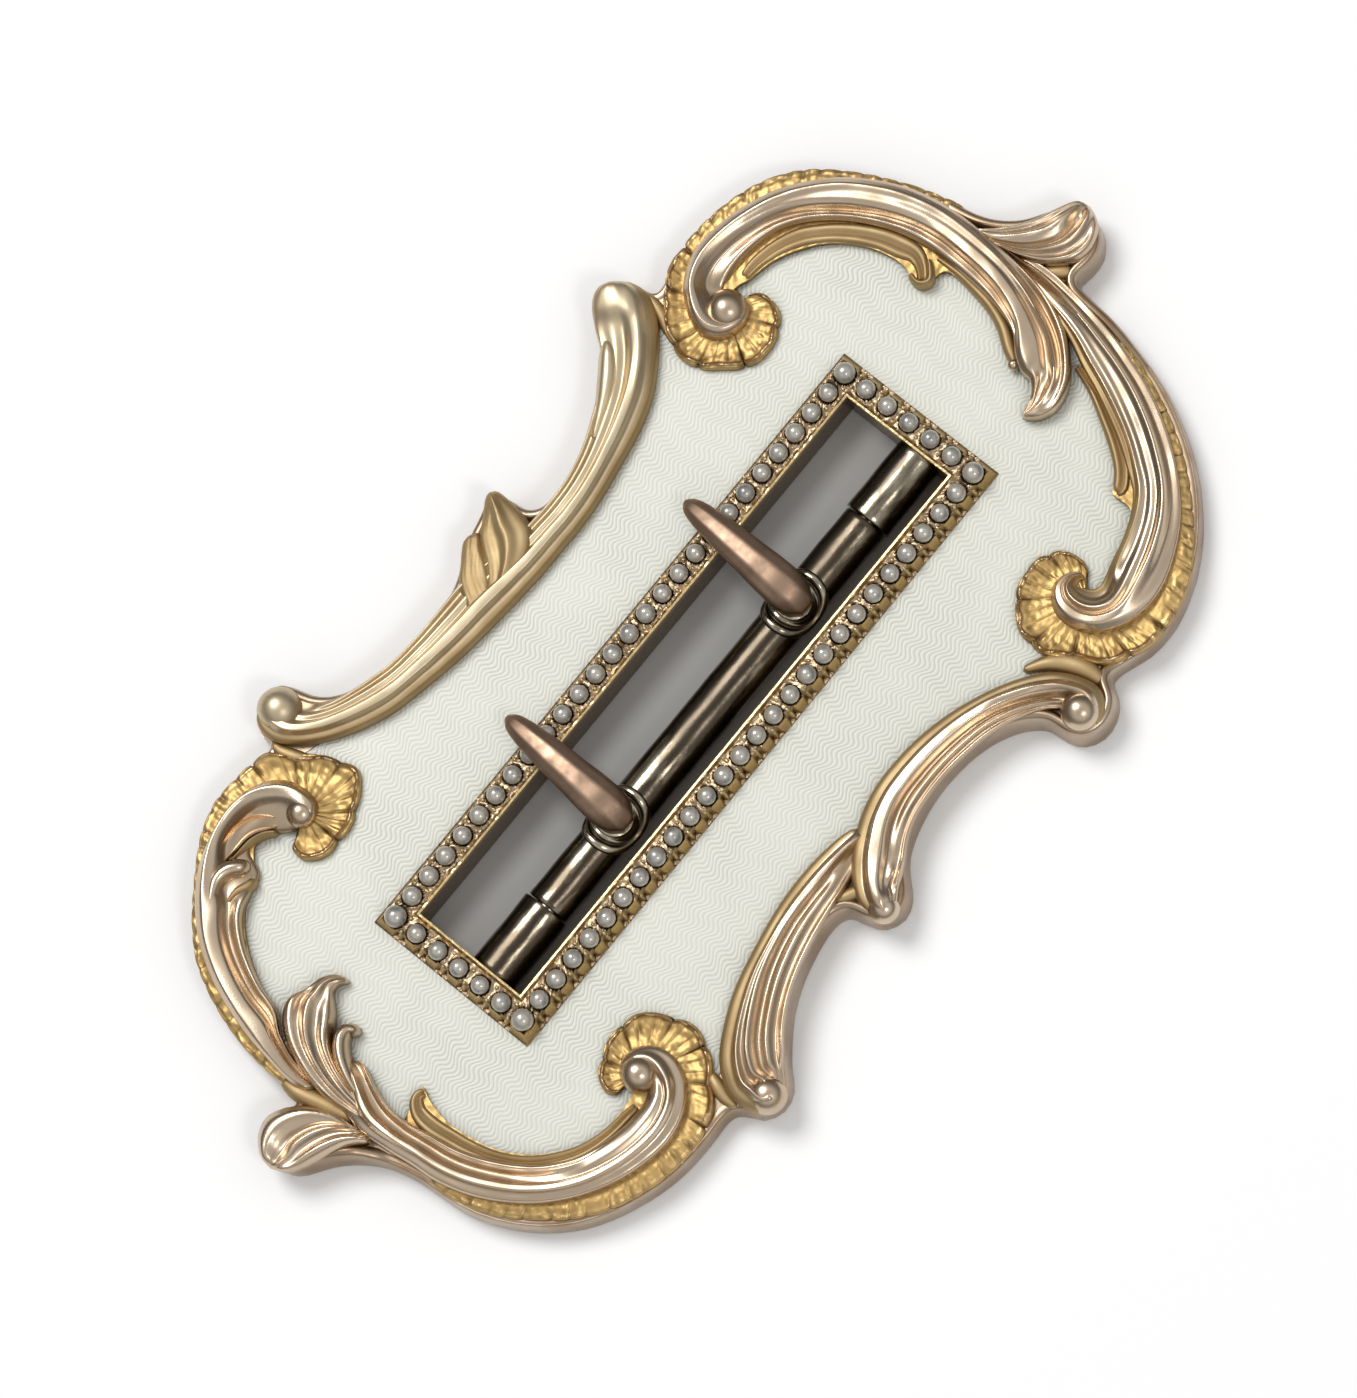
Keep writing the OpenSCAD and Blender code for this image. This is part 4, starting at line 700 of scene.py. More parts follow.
         (5, 3.3, 0.03, 3.8, 0.14, 3.5, 0.27, 3.85, 0.41, 3.5, 0.57, 4.2, 0.66, 4.05, 0.71, 4.15, 0.79, 3.7,
          0.89, 3.6, 3.1),
         (7, 3.3, 0.04, 3.8, 0.17, 3.5, 0.32, 3.85, 0.49, 3.55, 0.64, 4.2, 0.69, 4.15, 0.73, 4.15, 0.8, 3.7,
          0.89, 3.6, 3.1),
         (8.6, 3.2, 0.05, 3.7, 0.15, 3.5, 0.28, 3.75, 0.42, 3.55, 0.57, 4.1, 0.62, 4.1, 0.67, 4.1, 0.77, 3.7,
          0.88, 3.6, 3.1),
         (10, 3, 0.1, 3.1, 0.2, 3.1, 0.33, 3.2, 0.44, 3.5, 0.55, 3.9, 0.6, 3.9, 0.64, 3.85, 0.73, 3.65,
          0.86, 3.6, 3.1),
         (11, 3, 0.05, 3.1, 0.1, 3.2, 0.18, 3.5, 0.26, 3.6, 0.34, 3.55, 0.42, 3.5, 0.55, 3.5, 0.7, 3.5,
          0.85, 3.5, 3.1)],
    ), (
        [(-2.9, -20.5, -3.5, -19.9), (-1.9, -20.1, -3.7, -18.4), (-1.1, -19.6, -3.1, -17.2),
         (-0.3, -19.2, -2, -16.1), (0.7, -18.6, -0.6, -15.2), (1.9, -17.9, 1.2, -14.4),
         (3.4, -17.4, 3.2, -13.95), (5.2, -17.2, 5.4, -13.9), (7, -17.2, 7.6, -14.1),
         (8.8, -17.4, 9.8, -14.6), (10.4, -17.7, 11.8, -15.3), (11.9, -18.2, 13.7, -16.2),
         (13.2, -18.9, 15.4, -17.3), (14.2, -19.6, 16.7, -18.6), (14.8, -20.2, 17.4, -20),
         (15.2, -20.6, 17.6, -21.4), (15.4, -21.2, 17, -22.5), (15.3, -21.6, 16, -23),
         (15.1, -21.7, 15, -22.8)],
        0.78, None,
        [(0, 3.1, 0.08, 3.3, 0.14, 3.3, 0.24, 3.4, 0.34, 3.5, 0.5, 3.7, 0.62, 3.7, 0.75, 3.4, 0.86, 3.3, 3),
         (1, 3.3, 0.06, 3.7, 0.12, 3.8, 0.2, 4, 0.3, 4.15, 0.45, 4.3, 0.6, 4.2, 0.75, 3.6, 0.86, 3.55, 3.1),
         (2, 3.3, 0.08, 3.7, 0.16, 3.6, 0.24, 3.8, 0.32, 3.95, 0.47, 4.35, 0.62, 4.25, 0.75, 3.65, 0.87, 3.6,
          3.1),
         (3, 3.3, 0.06, 3.9, 0.13, 3.6, 0.22, 3.8, 0.3, 3.75, 0.46, 4.35, 0.64, 4.3, 0.76, 3.65, 0.87, 3.6,
          3.1),
         (4, 3.3, 0.05, 3.6, 0.1, 3.5, 0.2, 3.55, 0.3, 3.6, 0.46, 4.3, 0.65, 4.3, 0.77, 3.7, 0.88, 3.6, 3.1),
         (6, 3.3, 0.05, 3.6, 0.1, 3.5, 0.2, 3.75, 0.34, 3.5, 0.5, 4.35, 0.68, 4.3, 0.77, 3.7, 0.88, 3.6,
          3.1),
         (8, 3.3, 0.05, 3.6, 0.11, 3.5, 0.2, 3.85, 0.34, 3.55, 0.5, 4.35, 0.68, 4.3, 0.77, 3.7, 0.88, 3.6,
          3.1),
         (10, 3.3, 0.05, 3.6, 0.12, 3.5, 0.22, 3.85, 0.36, 3.55, 0.52, 4.3, 0.68, 4.3, 0.78, 3.7, 0.88, 3.6,
          3.1),
         (12, 3.2, 0.05, 3.5, 0.1, 3.4, 0.2, 3.7, 0.32, 3.4, 0.48, 4.2, 0.62, 4.3, 0.76, 3.7, 0.88, 3.6,
          3.1),
         (13, 3.2, 0.05, 3.4, 0.1, 3.4, 0.18, 3.6, 0.3, 3.3, 0.46, 4.1, 0.6, 4.3, 0.76, 3.7, 0.88, 3.6, 3.1),
         (14, 3.1, 0.05, 3.2, 0.1, 3.2, 0.2, 3.3, 0.3, 3.3, 0.5, 4.1, 0.6, 4.25, 0.74, 3.8, 0.88, 3.6, 3.1),
         (16, 3.1, 0.08, 3.2, 0.14, 3.2, 0.24, 3.3, 0.36, 3.5, 0.54, 4.15, 0.63, 4.15, 0.76, 3.8, 0.88, 3.6,
          3.1),
         (18, 3.1, 0.1, 3.2, 0.16, 3.2, 0.26, 3.3, 0.4, 3.4, 0.56, 3.6, 0.64, 3.6, 0.76, 3.5, 0.88, 3.3, 3)],
    )],
    "leaf_tip_left": [(
        [(-36.1, -0.6, -36.1, -3.4), (-36.7, 1, -36.8, -2.5), (-37.3, 2.2, -37.6, -1.8),
         (-38.3, 3.2, -38.5, -1.3), (-39.5, 3.7, -39.6, -0.8), (-40.7, 3.4, -40.6, -0.3),
         (-41.6, 2.6, -41.4, 0.3), (-42, 1.8, -41.9, 1.2)],
        NOWHERE, (8, 0.44),
        [(0, 3.3, 0.15, 3.7, 0.38, 3.8, 0.45, 3.7, 0.55, 4, 0.68, 3.8, 0.85, 4, 3.4),
         (2, 3.4, 0.2, 4.1, 0.4, 3.9, 0.47, 3.7, 0.58, 4.1, 0.7, 3.75, 0.85, 4.1, 3.3),
         (4, 3.4, 0.22, 4.1, 0.4, 3.8, 0.5, 3.5, 0.62, 4, 0.74, 3.65, 0.86, 3.9, 3.2),
         (5, 3.4, 0.22, 4, 0.4, 3.7, 0.55, 3.45, 0.68, 3.8, 0.78, 3.6, 0.88, 3.7, 3.2),
         (6, 3.3, 0.22, 3.9, 0.4, 3.8, 0.55, 3.6, 0.68, 3.7, 0.78, 3.6, 0.88, 3.6, 3.1),
         (7, 3, 0.22, 3.4, 0.4, 3.5, 0.55, 3.4, 0.68, 3.4, 0.78, 3.3, 0.88, 3.2, 3)],
    )],
    "leaf_tip_right": [(
        [(36.6, 5.4, 36.7, 3.6), (37.2, 4.6, 37, 2), (38, 3.75, 37.5, 0.4), (39, 2.9, 38.2, -0.8),
         (40.2, 2.15, 39.3, -1.8), (41.4, 1.6, 40.7, -2.05), (42.4, 1.1, 42, -1.5), (43, 0.5, 42.9, -0.5)],
        NOWHERE, (8, 0.52),
        [(0, 3.4, 0.06, 3.8, 0.14, 3.9, 0.3, 4.1, 0.46, 4.1, 0.55, 4, 0.66, 4, 0.76, 4, 0.88, 4, 3.5),
         (2, 3.4, 0.06, 3.8, 0.13, 3.7, 0.28, 4.1, 0.46, 4, 0.55, 3.7, 0.66, 4.1, 0.78, 3.8, 0.88, 4, 3.4),
         (4, 3.4, 0.06, 3.7, 0.13, 3.6, 0.28, 4.1, 0.45, 3.9, 0.54, 3.5, 0.65, 4.1, 0.78, 3.7, 0.88, 3.9,
          3.3),
         (5.2, 3.3, 0.06, 3.6, 0.13, 3.6, 0.24, 4, 0.38, 3.6, 0.48, 3.4, 0.62, 4.1, 0.78, 3.7, 0.88, 3.8,
          3.2),
         (6.2, 3.2, 0.08, 3.5, 0.15, 3.5, 0.24, 3.5, 0.38, 3.4, 0.48, 3.6, 0.62, 4, 0.78, 3.7, 0.88, 3.6,
          3.2),
         (7, 3.1, 0.1, 3.3, 0.18, 3.4, 0.3, 3.4, 0.4, 3.4, 0.5, 3.5, 0.62, 3.5, 0.78, 3.4, 0.88, 3.3, 3)],
    )],
}

# Strands laid on the bodies: section, share of yellow, relief, rows of (x, y, half width, top)
STRANDS = {
    "scroll_top_left": [
        (ROUND, 0, None, [
            (-31.9, 15.1, 0.2, 4.2), (-30.6, 16.1, 0.5, 4.35), (-29.4, 16.7, 0.66, 4.35),
            (-28.4, 16.6, 0.72, 4.35), (-27.7, 16, 0.66, 4.25), (-27.4, 15.4, 0.5, 3.9),
        ]),
        (ROUND, 1, None, [
            (-30.2, 15.2, 0.2, 3.7), (-29.2, 15.2, 0.36, 3.8), (-28.3, 14.9, 0.4, 3.7),
            (-27.6, 14.9, 0.3, 3.4),
        ]),
        (FLUTE, 0, None, [
            (-28.3, 17.4, 0.3, 4), (-27, 17.5, 0.55, 4.2), (-25.9, 17.5, 0.62, 4.25), (-25, 17.2, 0.62, 4.2),
            (-24.3, 16.6, 0.5, 4), (-23.8, 16, 0.3, 3.7),
        ]),
        (ROUND, 1, None, [
            (-28, 16.9, 0.12, 3.6), (-26.8, 16.8, 0.22, 3.8), (-25.8, 16.7, 0.24, 3.8),
            (-24.9, 16.3, 0.24, 3.8), (-24.3, 15.7, 0.2, 3.6),
        ]),
    ],
    "scroll_top_right": [
        (REED, 1, None, [
            (31.8, 5.5, 0.4, 3.3), (32.6, 6.2, 0.5, 3.3), (33.1, 7.2, 0.7, 3.3), (32.9, 8.4, 0.85, 3.3),
            (32.5, 9.8, 0.8, 3.3), (31.7, 11.4, 0.75, 3.3), (30.6, 12.9, 0.7, 3.3), (29.2, 14.2, 0.7, 3.3),
            (27.6, 15, 0.6, 3.25), (25.9, 15.4, 0.5, 3.25), (24.6, 15.4, 0.35, 3.2),
        ]),
        (ROUND, 1, None, [
            (31.3, -3, 0.3, 3.3), (31.9, -2, 0.45, 3.4), (32.8, -0.7, 0.45, 3.4), (33.4, 0.8, 0.4, 3.4),
            (33.7, 2.4, 0.36, 3.3), (33.85, 4, 0.3, 3.3), (33.8, 6, 0.2, 3.2),
        ]),
        (ROUND, 1, None, [
            (33.4, 6.3, 0.2, 3.7), (32.9, 5.7, 0.24, 3.8), (32.2, 5.2, 0.26, 3.8), (31.6, 5.7, 0.26, 3.8),
            (31.8, 6.7, 0.2, 3.6),
        ]),
    ],
    "scroll_bottom_left": [
        (REED, 1, None, [
            (-31.4, -3.5, 0.35, 3.3), (-32.1, -3.3, 0.45, 3.3), (-32.8, -4, 0.6, 3.3), (-33, -5.2, 0.7, 3.3),
            (-32.8, -6.8, 0.65, 3.3), (-32.5, -8.4, 0.6, 3.3), (-31.9, -10.2, 0.55, 3.3),
            (-30.9, -11.9, 0.55, 3.3), (-29.5, -13.3, 0.55, 3.3), (-27.9, -14.3, 0.5, 3.25),
            (-26, -14.9, 0.45, 3.25), (-24.2, -15.1, 0.4, 3.3), (-23.2, -15.2, 0.3, 3.1),
        ]),
        (ROUND, 0, None, [
            (-34.6, -0.8, 0.3, 4.2), (-34.1, 0.8, 0.5, 4.3), (-33.3, 2.3, 0.6, 4.3), (-32.3, 3.2, 0.6, 4.2),
            (-31.5, 3.2, 0.5, 4), (-31.2, 2.5, 0.35, 3.7),
        ]),
    ],
    "scroll_bottom_right": [
        (REED, 1, None, [
            (33.8, -6.2, 0.2, 3.25), (33.2, -8.2, 0.4, 3.3), (32.3, -10, 0.5, 3.3), (31.3, -11.7, 0.55, 3.3),
            (30.2, -13.1, 0.55, 3.3), (29.1, -13.9, 0.55, 3.3), (28.5, -13.8, 0.4, 3.25),
        ]),
    ],
    "side_scroll_top": [
        (ROUND, 0.1, stipple, [
            (9.6, 16.1, 0.3, 3.8), (11.6, 17, 0.6, 4), (13.4, 18, 0.8, 4.1), (14.9, 19.2, 0.7, 4),
            (15.6, 20, 0.35, 3.7),
        ]),
        (ROUND, 1, None, [
            (18.5, 17, 0.3, 2.9), (19.2, 18.1, 0.45, 3.1), (19.6, 19.4, 0.4, 3), (19.6, 20.4, 0.2, 2.8),
        ]),
        (ROUND, 1, None, [
            (-19, 17.2, 0.3, 2.9), (-19.6, 18.3, 0.5, 3.1), (-19.9, 19.4, 0.4, 3), (-19.8, 20.2, 0.2, 2.8),
        ]),
    ],
    "side_scroll_bottom": [
        (ROUND, 1, None, [
            (-18.5, -17.4, 0.3, 2.9), (-18.9, -18.4, 0.5, 3.1), (-19.2, -19.4, 0.45, 3),
            (-19.2, -20.4, 0.2, 2.8),
        ]),
        (ROUND, 1, None, [
            (15.4, -16.6, 0.25, 2.9), (16.7, -17.5, 0.5, 3.1), (17.6, -18.6, 0.65, 3.1),
            (18.1, -20, 0.65, 3.1), (18.1, -21.4, 0.4, 2.9),
        ]),
        (ROUND, 1, None, [
            (-5, -16.6, 0.3, 3), (-3.8, -17.1, 0.5, 3.3), (-2.8, -17.7, 0.5, 3.3), (-2, -18.8, 0.3, 3.3),
        ]),
    ],
    "leaf_tip_left": [
        (ROUND, 1, None, [
            (-36.9, 4.7, 0.3, 3), (-36.9, 3.5, 0.6, 3.3), (-36.6, 2.2, 0.7, 3.5), (-36.3, 0.9, 0.7, 3.5),
            (-36, -0.4, 0.5, 3.4), (-35.6, -1.4, 0.3, 3.2),
        ]),
    ],
    "leaf_tip_right": [
        (ROUND, 1, None, [
            (36.8, 0.4, 0.3, 3), (37.6, -0.6, 0.5, 3.2), (38.3, -1.4, 0.55, 3.2), (38.8, -2, 0.3, 3),
        ]),
    ],
}

# How satin a piece is, from polished at 0 to matte yellow at 1
SATIN = {"side_scroll_top": 0.5}

# Balls at the eyes of the volutes: (x, y, radius, top)
BALLS = {
    "scroll_top_left": [(-22.3, 15.2, 1.05, 4.5)],
    "scroll_top_right": [(22.2, 14.8, 1.5, 4.6), (31.2, -2.9, 0.4, 3.5)],
    "scroll_bottom_left": [(-21.6, -14, 1.3, 4.6)],
    "side_scroll_top": [(-17.8, 21.1, 1.6, 4.5)],
    "side_scroll_bottom": [(15.55, -21.5, 1.35, 4.6), (-17.3, -21.5, 1.35, 4.2), (-2.8, -19.6, 1.1, 4.1)],
}


# Materials


def add_node(tree, kind, inputs=None, stops=(), **settings):
    """Adds a node; its inputs are values, nodes or outputs, and its stops are those of a colour ramp."""
    node = tree.nodes.new("ShaderNode" + kind)
    for name, value in settings.items():
        setattr(node, name, value)
    for key, value in (inputs or {}).items():
        socket = node.inputs[key] if isinstance(key, int) else next(
            s for s in node.inputs if s.enabled and s.name == key
        )
        if isinstance(value, bpy.types.Node):
            value = next(s for s in value.outputs if s.enabled)
        if isinstance(value, bpy.types.NodeSocket):
            tree.links.new(value, socket)
        else:
            socket.default_value = value
    for number, (place, value) in enumerate(stops):
        elements = node.color_ramp.elements
        stop = elements[number] if number < 2 else elements.new(place)
        stop.position = place
        stop.color = (value, value, value, 1) if isinstance(value, float) else value
    return node


def per_mm(size):
    """Scale of a pattern whose lumps are the given number of millimetres wide."""
    return 1 / (size * MM)


def polished_rose_gold(tree, colours):
    """Cast rose gold, chased and burnished.

    Crests are smooth and bright; the hollows get a duller, yellower colour as painted shade.
    The scroll above the slot is left satin, and paler.
    """
    place = add_node(tree, "TexCoord").outputs["Object"]
    depth = add_node(tree, "Attribute", attribute_name="depth").outputs["Fac"]
    tint = add_node(tree, "Attribute", attribute_name="tint").outputs["Fac"]
    # Painted shade: the deeper a point lies in a hollow, the more of the groove colour it gets, and less of
    # it on the matte yellow parts
    hollow_shade = add_node(tree, "ValToRGB", {"Fac": depth}, [(0.25, 0.0), (0.9, 0.75)])
    golds = [(0.0, colours.rose), (0.5, colours.champagne), (1.0, colours.fillet)]
    metal = add_node(tree, "ValToRGB", {"Fac": tint}, golds)
    plain = add_node(tree, "Math", {0: tint, 1: -0.6, 2: 1.0}, operation="MULTIPLY_ADD")
    hollow_shade = add_node(tree, "Math", {0: hollow_shade, 1: plain}, operation="MULTIPLY")
    base = add_node(tree, "Mix", {"Factor": hollow_shade, "A": metal, "B": colours.rose_hollow_shade}, data_type="RGBA")
    cloud = add_node(tree, "TexNoise", {"Vector": place, "Scale": per_mm(3.0), "Detail": 3.0})
    clean, dull = linear("#fffaf3"), linear("#f0e6da")
    film = add_node(tree, "ValToRGB", {"Fac": cloud}, [(0.3, clean), (0.7, dull)])
    film = {"Factor": 1.0, "A": base, "B": film}
    base = add_node(tree, "Mix", film, data_type="RGBA", blend_type="MULTIPLY")
    rough = add_node(tree, "ValToRGB", {"Fac": cloud}, [(0.3, 0.24), (0.7, 0.34)])
    rough = add_node(tree, "Math", {0: tint, 1: 0.26, 2: rough}, operation="MULTIPLY_ADD")
    tooling = add_node(tree, "TexNoise", {"Vector": place, "Scale": per_mm(0.14), "Detail": 2.0})
    bump = add_node(tree, "Bump", {"Height": tooling, "Distance": 0.006 * MM, "Strength": 0.5})
    return {"Base Color": base, "Metallic": 1.0, "Roughness": rough, "Normal": bump}


def gilt_silver(tree, colours):
    """Rolled silver, gilt pink and polished: broad soft reflections, and browner clouds of wear."""
    place = add_node(tree, "TexCoord").outputs["Object"]
    cloud = add_node(tree, "TexNoise", {"Vector": place, "Scale": per_mm(4.0), "Detail": 4.0})
    worn = linear("#947b60")
    base = add_node(tree, "ValToRGB", {"Fac": cloud}, [(0.35, colours.tray), (0.65, worn)])
    rough = add_node(tree, "ValToRGB", {"Fac": cloud}, [(0.3, 0.3), (0.7, 0.4)])
    return {"Base Color": base, "Metallic": 1.0, "Roughness": rough}


def frosted_yellow_gold(tree, colours):
    """Yellow gold frosted with a fine punch: a broken, grainy shine with no clear reflections.

    The rolled edges are burnished smoother and painted paler, a painted highlight; the nicks and the hollows
    between the folds are painted darker, as shade.
    """
    place = add_node(tree, "TexCoord").outputs["Object"]
    depth = add_node(tree, "Attribute", attribute_name="depth").outputs["Fac"]
    rim = add_node(tree, "Attribute", attribute_name="tint").outputs["Fac"]
    # Painted shade: darker in the frill's cracks and on its underside
    shade_mix = add_node(tree, "ValToRGB", {"Fac": depth}, [(0.15, 0.0), (0.8, 1.0)])
    golds = {"Factor": shade_mix, "A": colours.yellow, "B": colours.yellow_crack_shade}
    base = add_node(tree, "Mix", golds, data_type="RGBA")
    base = add_node(tree, "Mix", {"Factor": rim, "A": base, "B": colours.rolled_edge_highlight}, data_type="RGBA")
    cloud = add_node(tree, "TexNoise", {"Vector": place, "Scale": per_mm(1.5), "Detail": 3.0})
    rough = add_node(tree, "ValToRGB", {"Fac": cloud}, [(0.3, 0.4), (0.7, 0.5)])
    rough = add_node(tree, "Math", {0: rim, 1: -0.2, 2: rough}, operation="MULTIPLY_ADD")
    punch = add_node(tree, "TexNoise", {"Vector": place, "Scale": per_mm(0.2), "Detail": 3.0})
    bump = add_node(tree, "Bump", {"Height": punch, "Distance": 0.02 * MM, "Strength": 0.7})
    return {"Base Color": base, "Metallic": 1.0, "Roughness": rough, "Normal": bump}


def pink_gilt(tree, colours):
    """Pink gilt worked up with a graver into grains: sparkles on top, and painted shade between the pearls
    and in the notches.
    """
    place = add_node(tree, "TexCoord").outputs["Object"]
    depth = add_node(tree, "Attribute", attribute_name="depth").outputs["Fac"]
    rim = add_node(tree, "Attribute", attribute_name="tint").outputs["Fac"]
    shade_mix = add_node(tree, "ValToRGB", {"Fac": depth}, [(0.1, 0.0), (0.9, 1.0)])
    # The pale colour is a painted highlight, on the inner edge, the middle of each facet and part way on the
    # grains; the dark one is painted shade, on the walls, in the notches and round the foot of each pearl
    burnished, painted_shade = linear("#ecdcae"), linear("#57442f")
    golds = [(0.0, colours.strip), (0.45, colours.yellow), (1.0, burnished)]
    metal = add_node(tree, "ValToRGB", {"Fac": rim}, golds)
    base = add_node(tree, "Mix", {"Factor": shade_mix, "A": metal, "B": painted_shade}, data_type="RGBA")
    cuts = add_node(tree, "TexNoise", {"Vector": place, "Scale": per_mm(0.25), "Detail": 3.0})
    rough = add_node(tree, "ValToRGB", {"Fac": cuts}, [(0.3, 0.24), (0.7, 0.42)])
    bump = add_node(tree, "Bump", {"Height": cuts, "Distance": 0.05 * MM, "Strength": 0.7})
    return {"Base Color": base, "Metallic": 1.0, "Roughness": rough, "Normal": bump}


def polished_red_gold(tree, colours):
    """Forged red gold, rubbed smooth by the strap, with painted shade on its underside and at its root."""
    place = add_node(tree, "TexCoord").outputs["Object"]
    depth = add_node(tree, "Attribute", attribute_name="depth").outputs["Fac"]
    # Painted shade: darker towards the underside and the root of the claw
    side = add_node(tree, "ValToRGB", {"Fac": depth}, [(0.1, 0.0), (0.5, 1.0)])
    claw_shade = linear("#6f5443")
    base = add_node(tree, "Mix", {"Factor": side, "A": colours.copper, "B": claw_shade}, data_type="RGBA")
    cloud = add_node(tree, "TexNoise", {"Vector": place, "Scale": per_mm(1.2), "Detail": 5.0})
    film = add_node(tree, "ValToRGB", {"Fac": cloud}, [(0.35, 1.0), (0.7, 0.62)])
    film = {"Factor": 1.0, "A": base, "B": film}
    base = add_node(tree, "Mix", film, data_type="RGBA", blend_type="MULTIPLY")
    rough = add_node(tree, "ValToRGB", {"Fac": cloud}, [(0.35, 0.36), (0.7, 0.52)])
    return {"Base Color": base, "Metallic": 1.0, "Roughness": rough}


def oxidised_silver(tree, colours):
    """Silver blackened by age, and rubbed bright on top where the strap has worn it."""
    place = add_node(tree, "TexCoord").outputs["Object"]
    stretch = add_node(tree, "Mapping", {"Vector": place, "Scale": (0.3, 1, 1)})
    height = add_node(tree, "SeparateXYZ", {0: place}).outputs["Z"]
    worn = add_node(tree, "Math", {0: height, 1: 0.045 / MM}, operation="MULTIPLY")
    # The depth that a piece gives: painted shade in the collars' hollows and on the left sleeve, a painted
    # highlight where it is below zero, on the right sleeve and the collars, and darker round x = ±14 mm on
    # the bar
    dark = add_node(tree, "Attribute", attribute_name="depth").outputs["Fac"]
    worn = add_node(tree, "Math", {0: worn, 1: dark}, operation="SUBTRACT")
    patches = {"Vector": stretch, "Scale": per_mm(2.4), "Detail": 8.0, "Roughness": 0.55}
    patch = add_node(tree, "TexNoise", patches)
    wear = add_node(tree, "Math", {0: patch, 1: worn})
    rubbed = add_node(tree, "ValToRGB", {"Fac": wear}, [(0.63, 0.0), (0.76, 1.0)])
    brown = linear("#6a5d4c")
    black = add_node(tree, "Mix", {"Factor": patch, "A": colours.oxide, "B": brown}, data_type="RGBA")
    base = add_node(tree, "Mix", {"Factor": rubbed, "A": black, "B": colours.silver}, data_type="RGBA")
    rough = add_node(tree, "ValToRGB", {"Fac": wear}, [(0.45, 0.34), (0.65, 0.2)])
    pits = add_node(tree, "TexNoise", {"Vector": place, "Scale": per_mm(0.5), "Detail": 6.0})
    bump = add_node(tree, "Bump", {"Height": pits, "Distance": 0.02 * MM, "Strength": 0.6})
    return {"Base Color": base, "Metallic": 1.0, "Roughness": rough, "Normal": bump}


def turned_enamel(tree, colours):
    """Translucent ivory enamel, fired over engine turning and polished.

    The wavy lines show through a clear glossy surface, darker where the enamel lies deeper.
    """
    sizes = bpy.context.scene.buckle_sizes
    place = add_node(tree, "TexCoord").outputs["Object"]
    axes = add_node(tree, "SeparateXYZ", {0: place}).outputs
    sway = add_node(tree, "Math", {0: axes["Y"], 1: 2 * math.pi / sizes.wave_drift}, operation="MULTIPLY")
    sway = add_node(tree, "Math", {0: sway}, operation="SINE")
    turn = add_node(tree, "Math", {0: axes["X"], 1: 2 * math.pi / sizes.wave_length}, operation="MULTIPLY")
    turn = add_node(tree, "Math", {0: sway, 1: 1.1, 2: turn}, operation="MULTIPLY_ADD")
    wave = add_node(tree, "Math", {0: turn}, operation="SINE")
    line = add_node(tree, "Math", {0: wave, 1: sizes.wave_height, 2: axes["Y"]}, operation="MULTIPLY_ADD")
    line = add_node(tree, "Math", {0: line, 1: 2 * math.pi / sizes.line_pitch}, operation="MULTIPLY")
    line = add_node(tree, "Math", {0: line}, operation="SINE")
    cut = add_node(tree, "Math", {0: line, 1: 0.5, 2: 0.5}, operation="MULTIPLY_ADD")
    shade = add_node(tree, "AmbientOcclusion", {"Distance": 1.5 * MM}, samples=8).outputs["AO"]
    shade = add_node(tree, "ValToRGB", {"Fac": shade}, [(0.35, 1.0), (0.9, 0.0)])
    patch = add_node(tree, "TexNoise", {"Vector": place, "Scale": per_mm(5.0), "Detail": 1.0})
    patch = add_node(tree, "ValToRGB", {"Fac": patch}, [(0.35, 0.15), (0.65, 0.7)])
    clear = add_node(tree, "Math", {0: shade, 1: patch}, operation="MAXIMUM")
    depth = add_node(tree, "ValToRGB", {"Fac": cut}, [(0.0, 1.0), (0.5, 0.0)])
    depth = add_node(tree, "Math", {0: depth, 1: clear}, operation="MULTIPLY")
    light, deep = colours.enamel_light, colours.enamel_dark
    base = add_node(tree, "Mix", {"Factor": depth, "A": light, "B": deep}, data_type="RGBA")
    edge = add_node(tree, "Math", {0: depth, 1: 0.5, 2: 0.4}, operation="MULTIPLY_ADD")
    edge = add_node(tree, "Math", {0: shade, 1: edge}, operation="MULTIPLY")
    shadow = linear("#838a80")
    base = add_node(tree, "Mix", {"Factor": edge, "A": base, "B": shadow}, data_type="RGBA")
    bump = add_node(tree, "Bump", {"Height": cut, "Distance": 0.03 * MM, "Strength": 0.3})
    gloss = {"Roughness": 0.35, "Coat Weight": 0.7, "Coat Roughness": 0.06}
    return {"Base Color": base, **gloss, "Normal": bump}


def seed_pearl(tree, colours):
    """Seed pearl: thin layers of nacre mirror part of the light, so a crisp spot stands on a grey body."""
    place = add_node(tree, "TexCoord").outputs["Object"]
    cloud = add_node(tree, "TexNoise", {"Vector": place, "Scale": per_mm(1.1), "Detail": 2.0})
    grey, cream = linear("#8f8d88"), linear("#b7ae9f")
    base = add_node(tree, "ValToRGB", {"Fac": cloud}, [(0.3, grey), (0.5, colours.pearl), (0.7, cream)])
    gloss = {"Metallic": 0.4, "Roughness": 0.27, "Coat Weight": 1.0, "Coat Roughness": 0.1}
    return {"Base Color": base, **gloss}


def matte_card(tree, colour_of_card):
    """Smooth matte paper or card, with fibres too faint to see as more than softness."""
    place = add_node(tree, "TexCoord").outputs["Object"]
    fibre = add_node(tree, "TexNoise", {"Vector": place, "Scale": per_mm(0.5), "Detail": 4.0})
    bump = add_node(tree, "Bump", {"Height": fibre, "Distance": 0.01 * MM, "Strength": 0.2})
    return {"Base Color": colour_of_card, "Roughness": 0.9, "Normal": bump}


def white_paper(tree, colours):
    """White paper, which the buckle lies on."""
    return matte_card(tree, colours.paper)


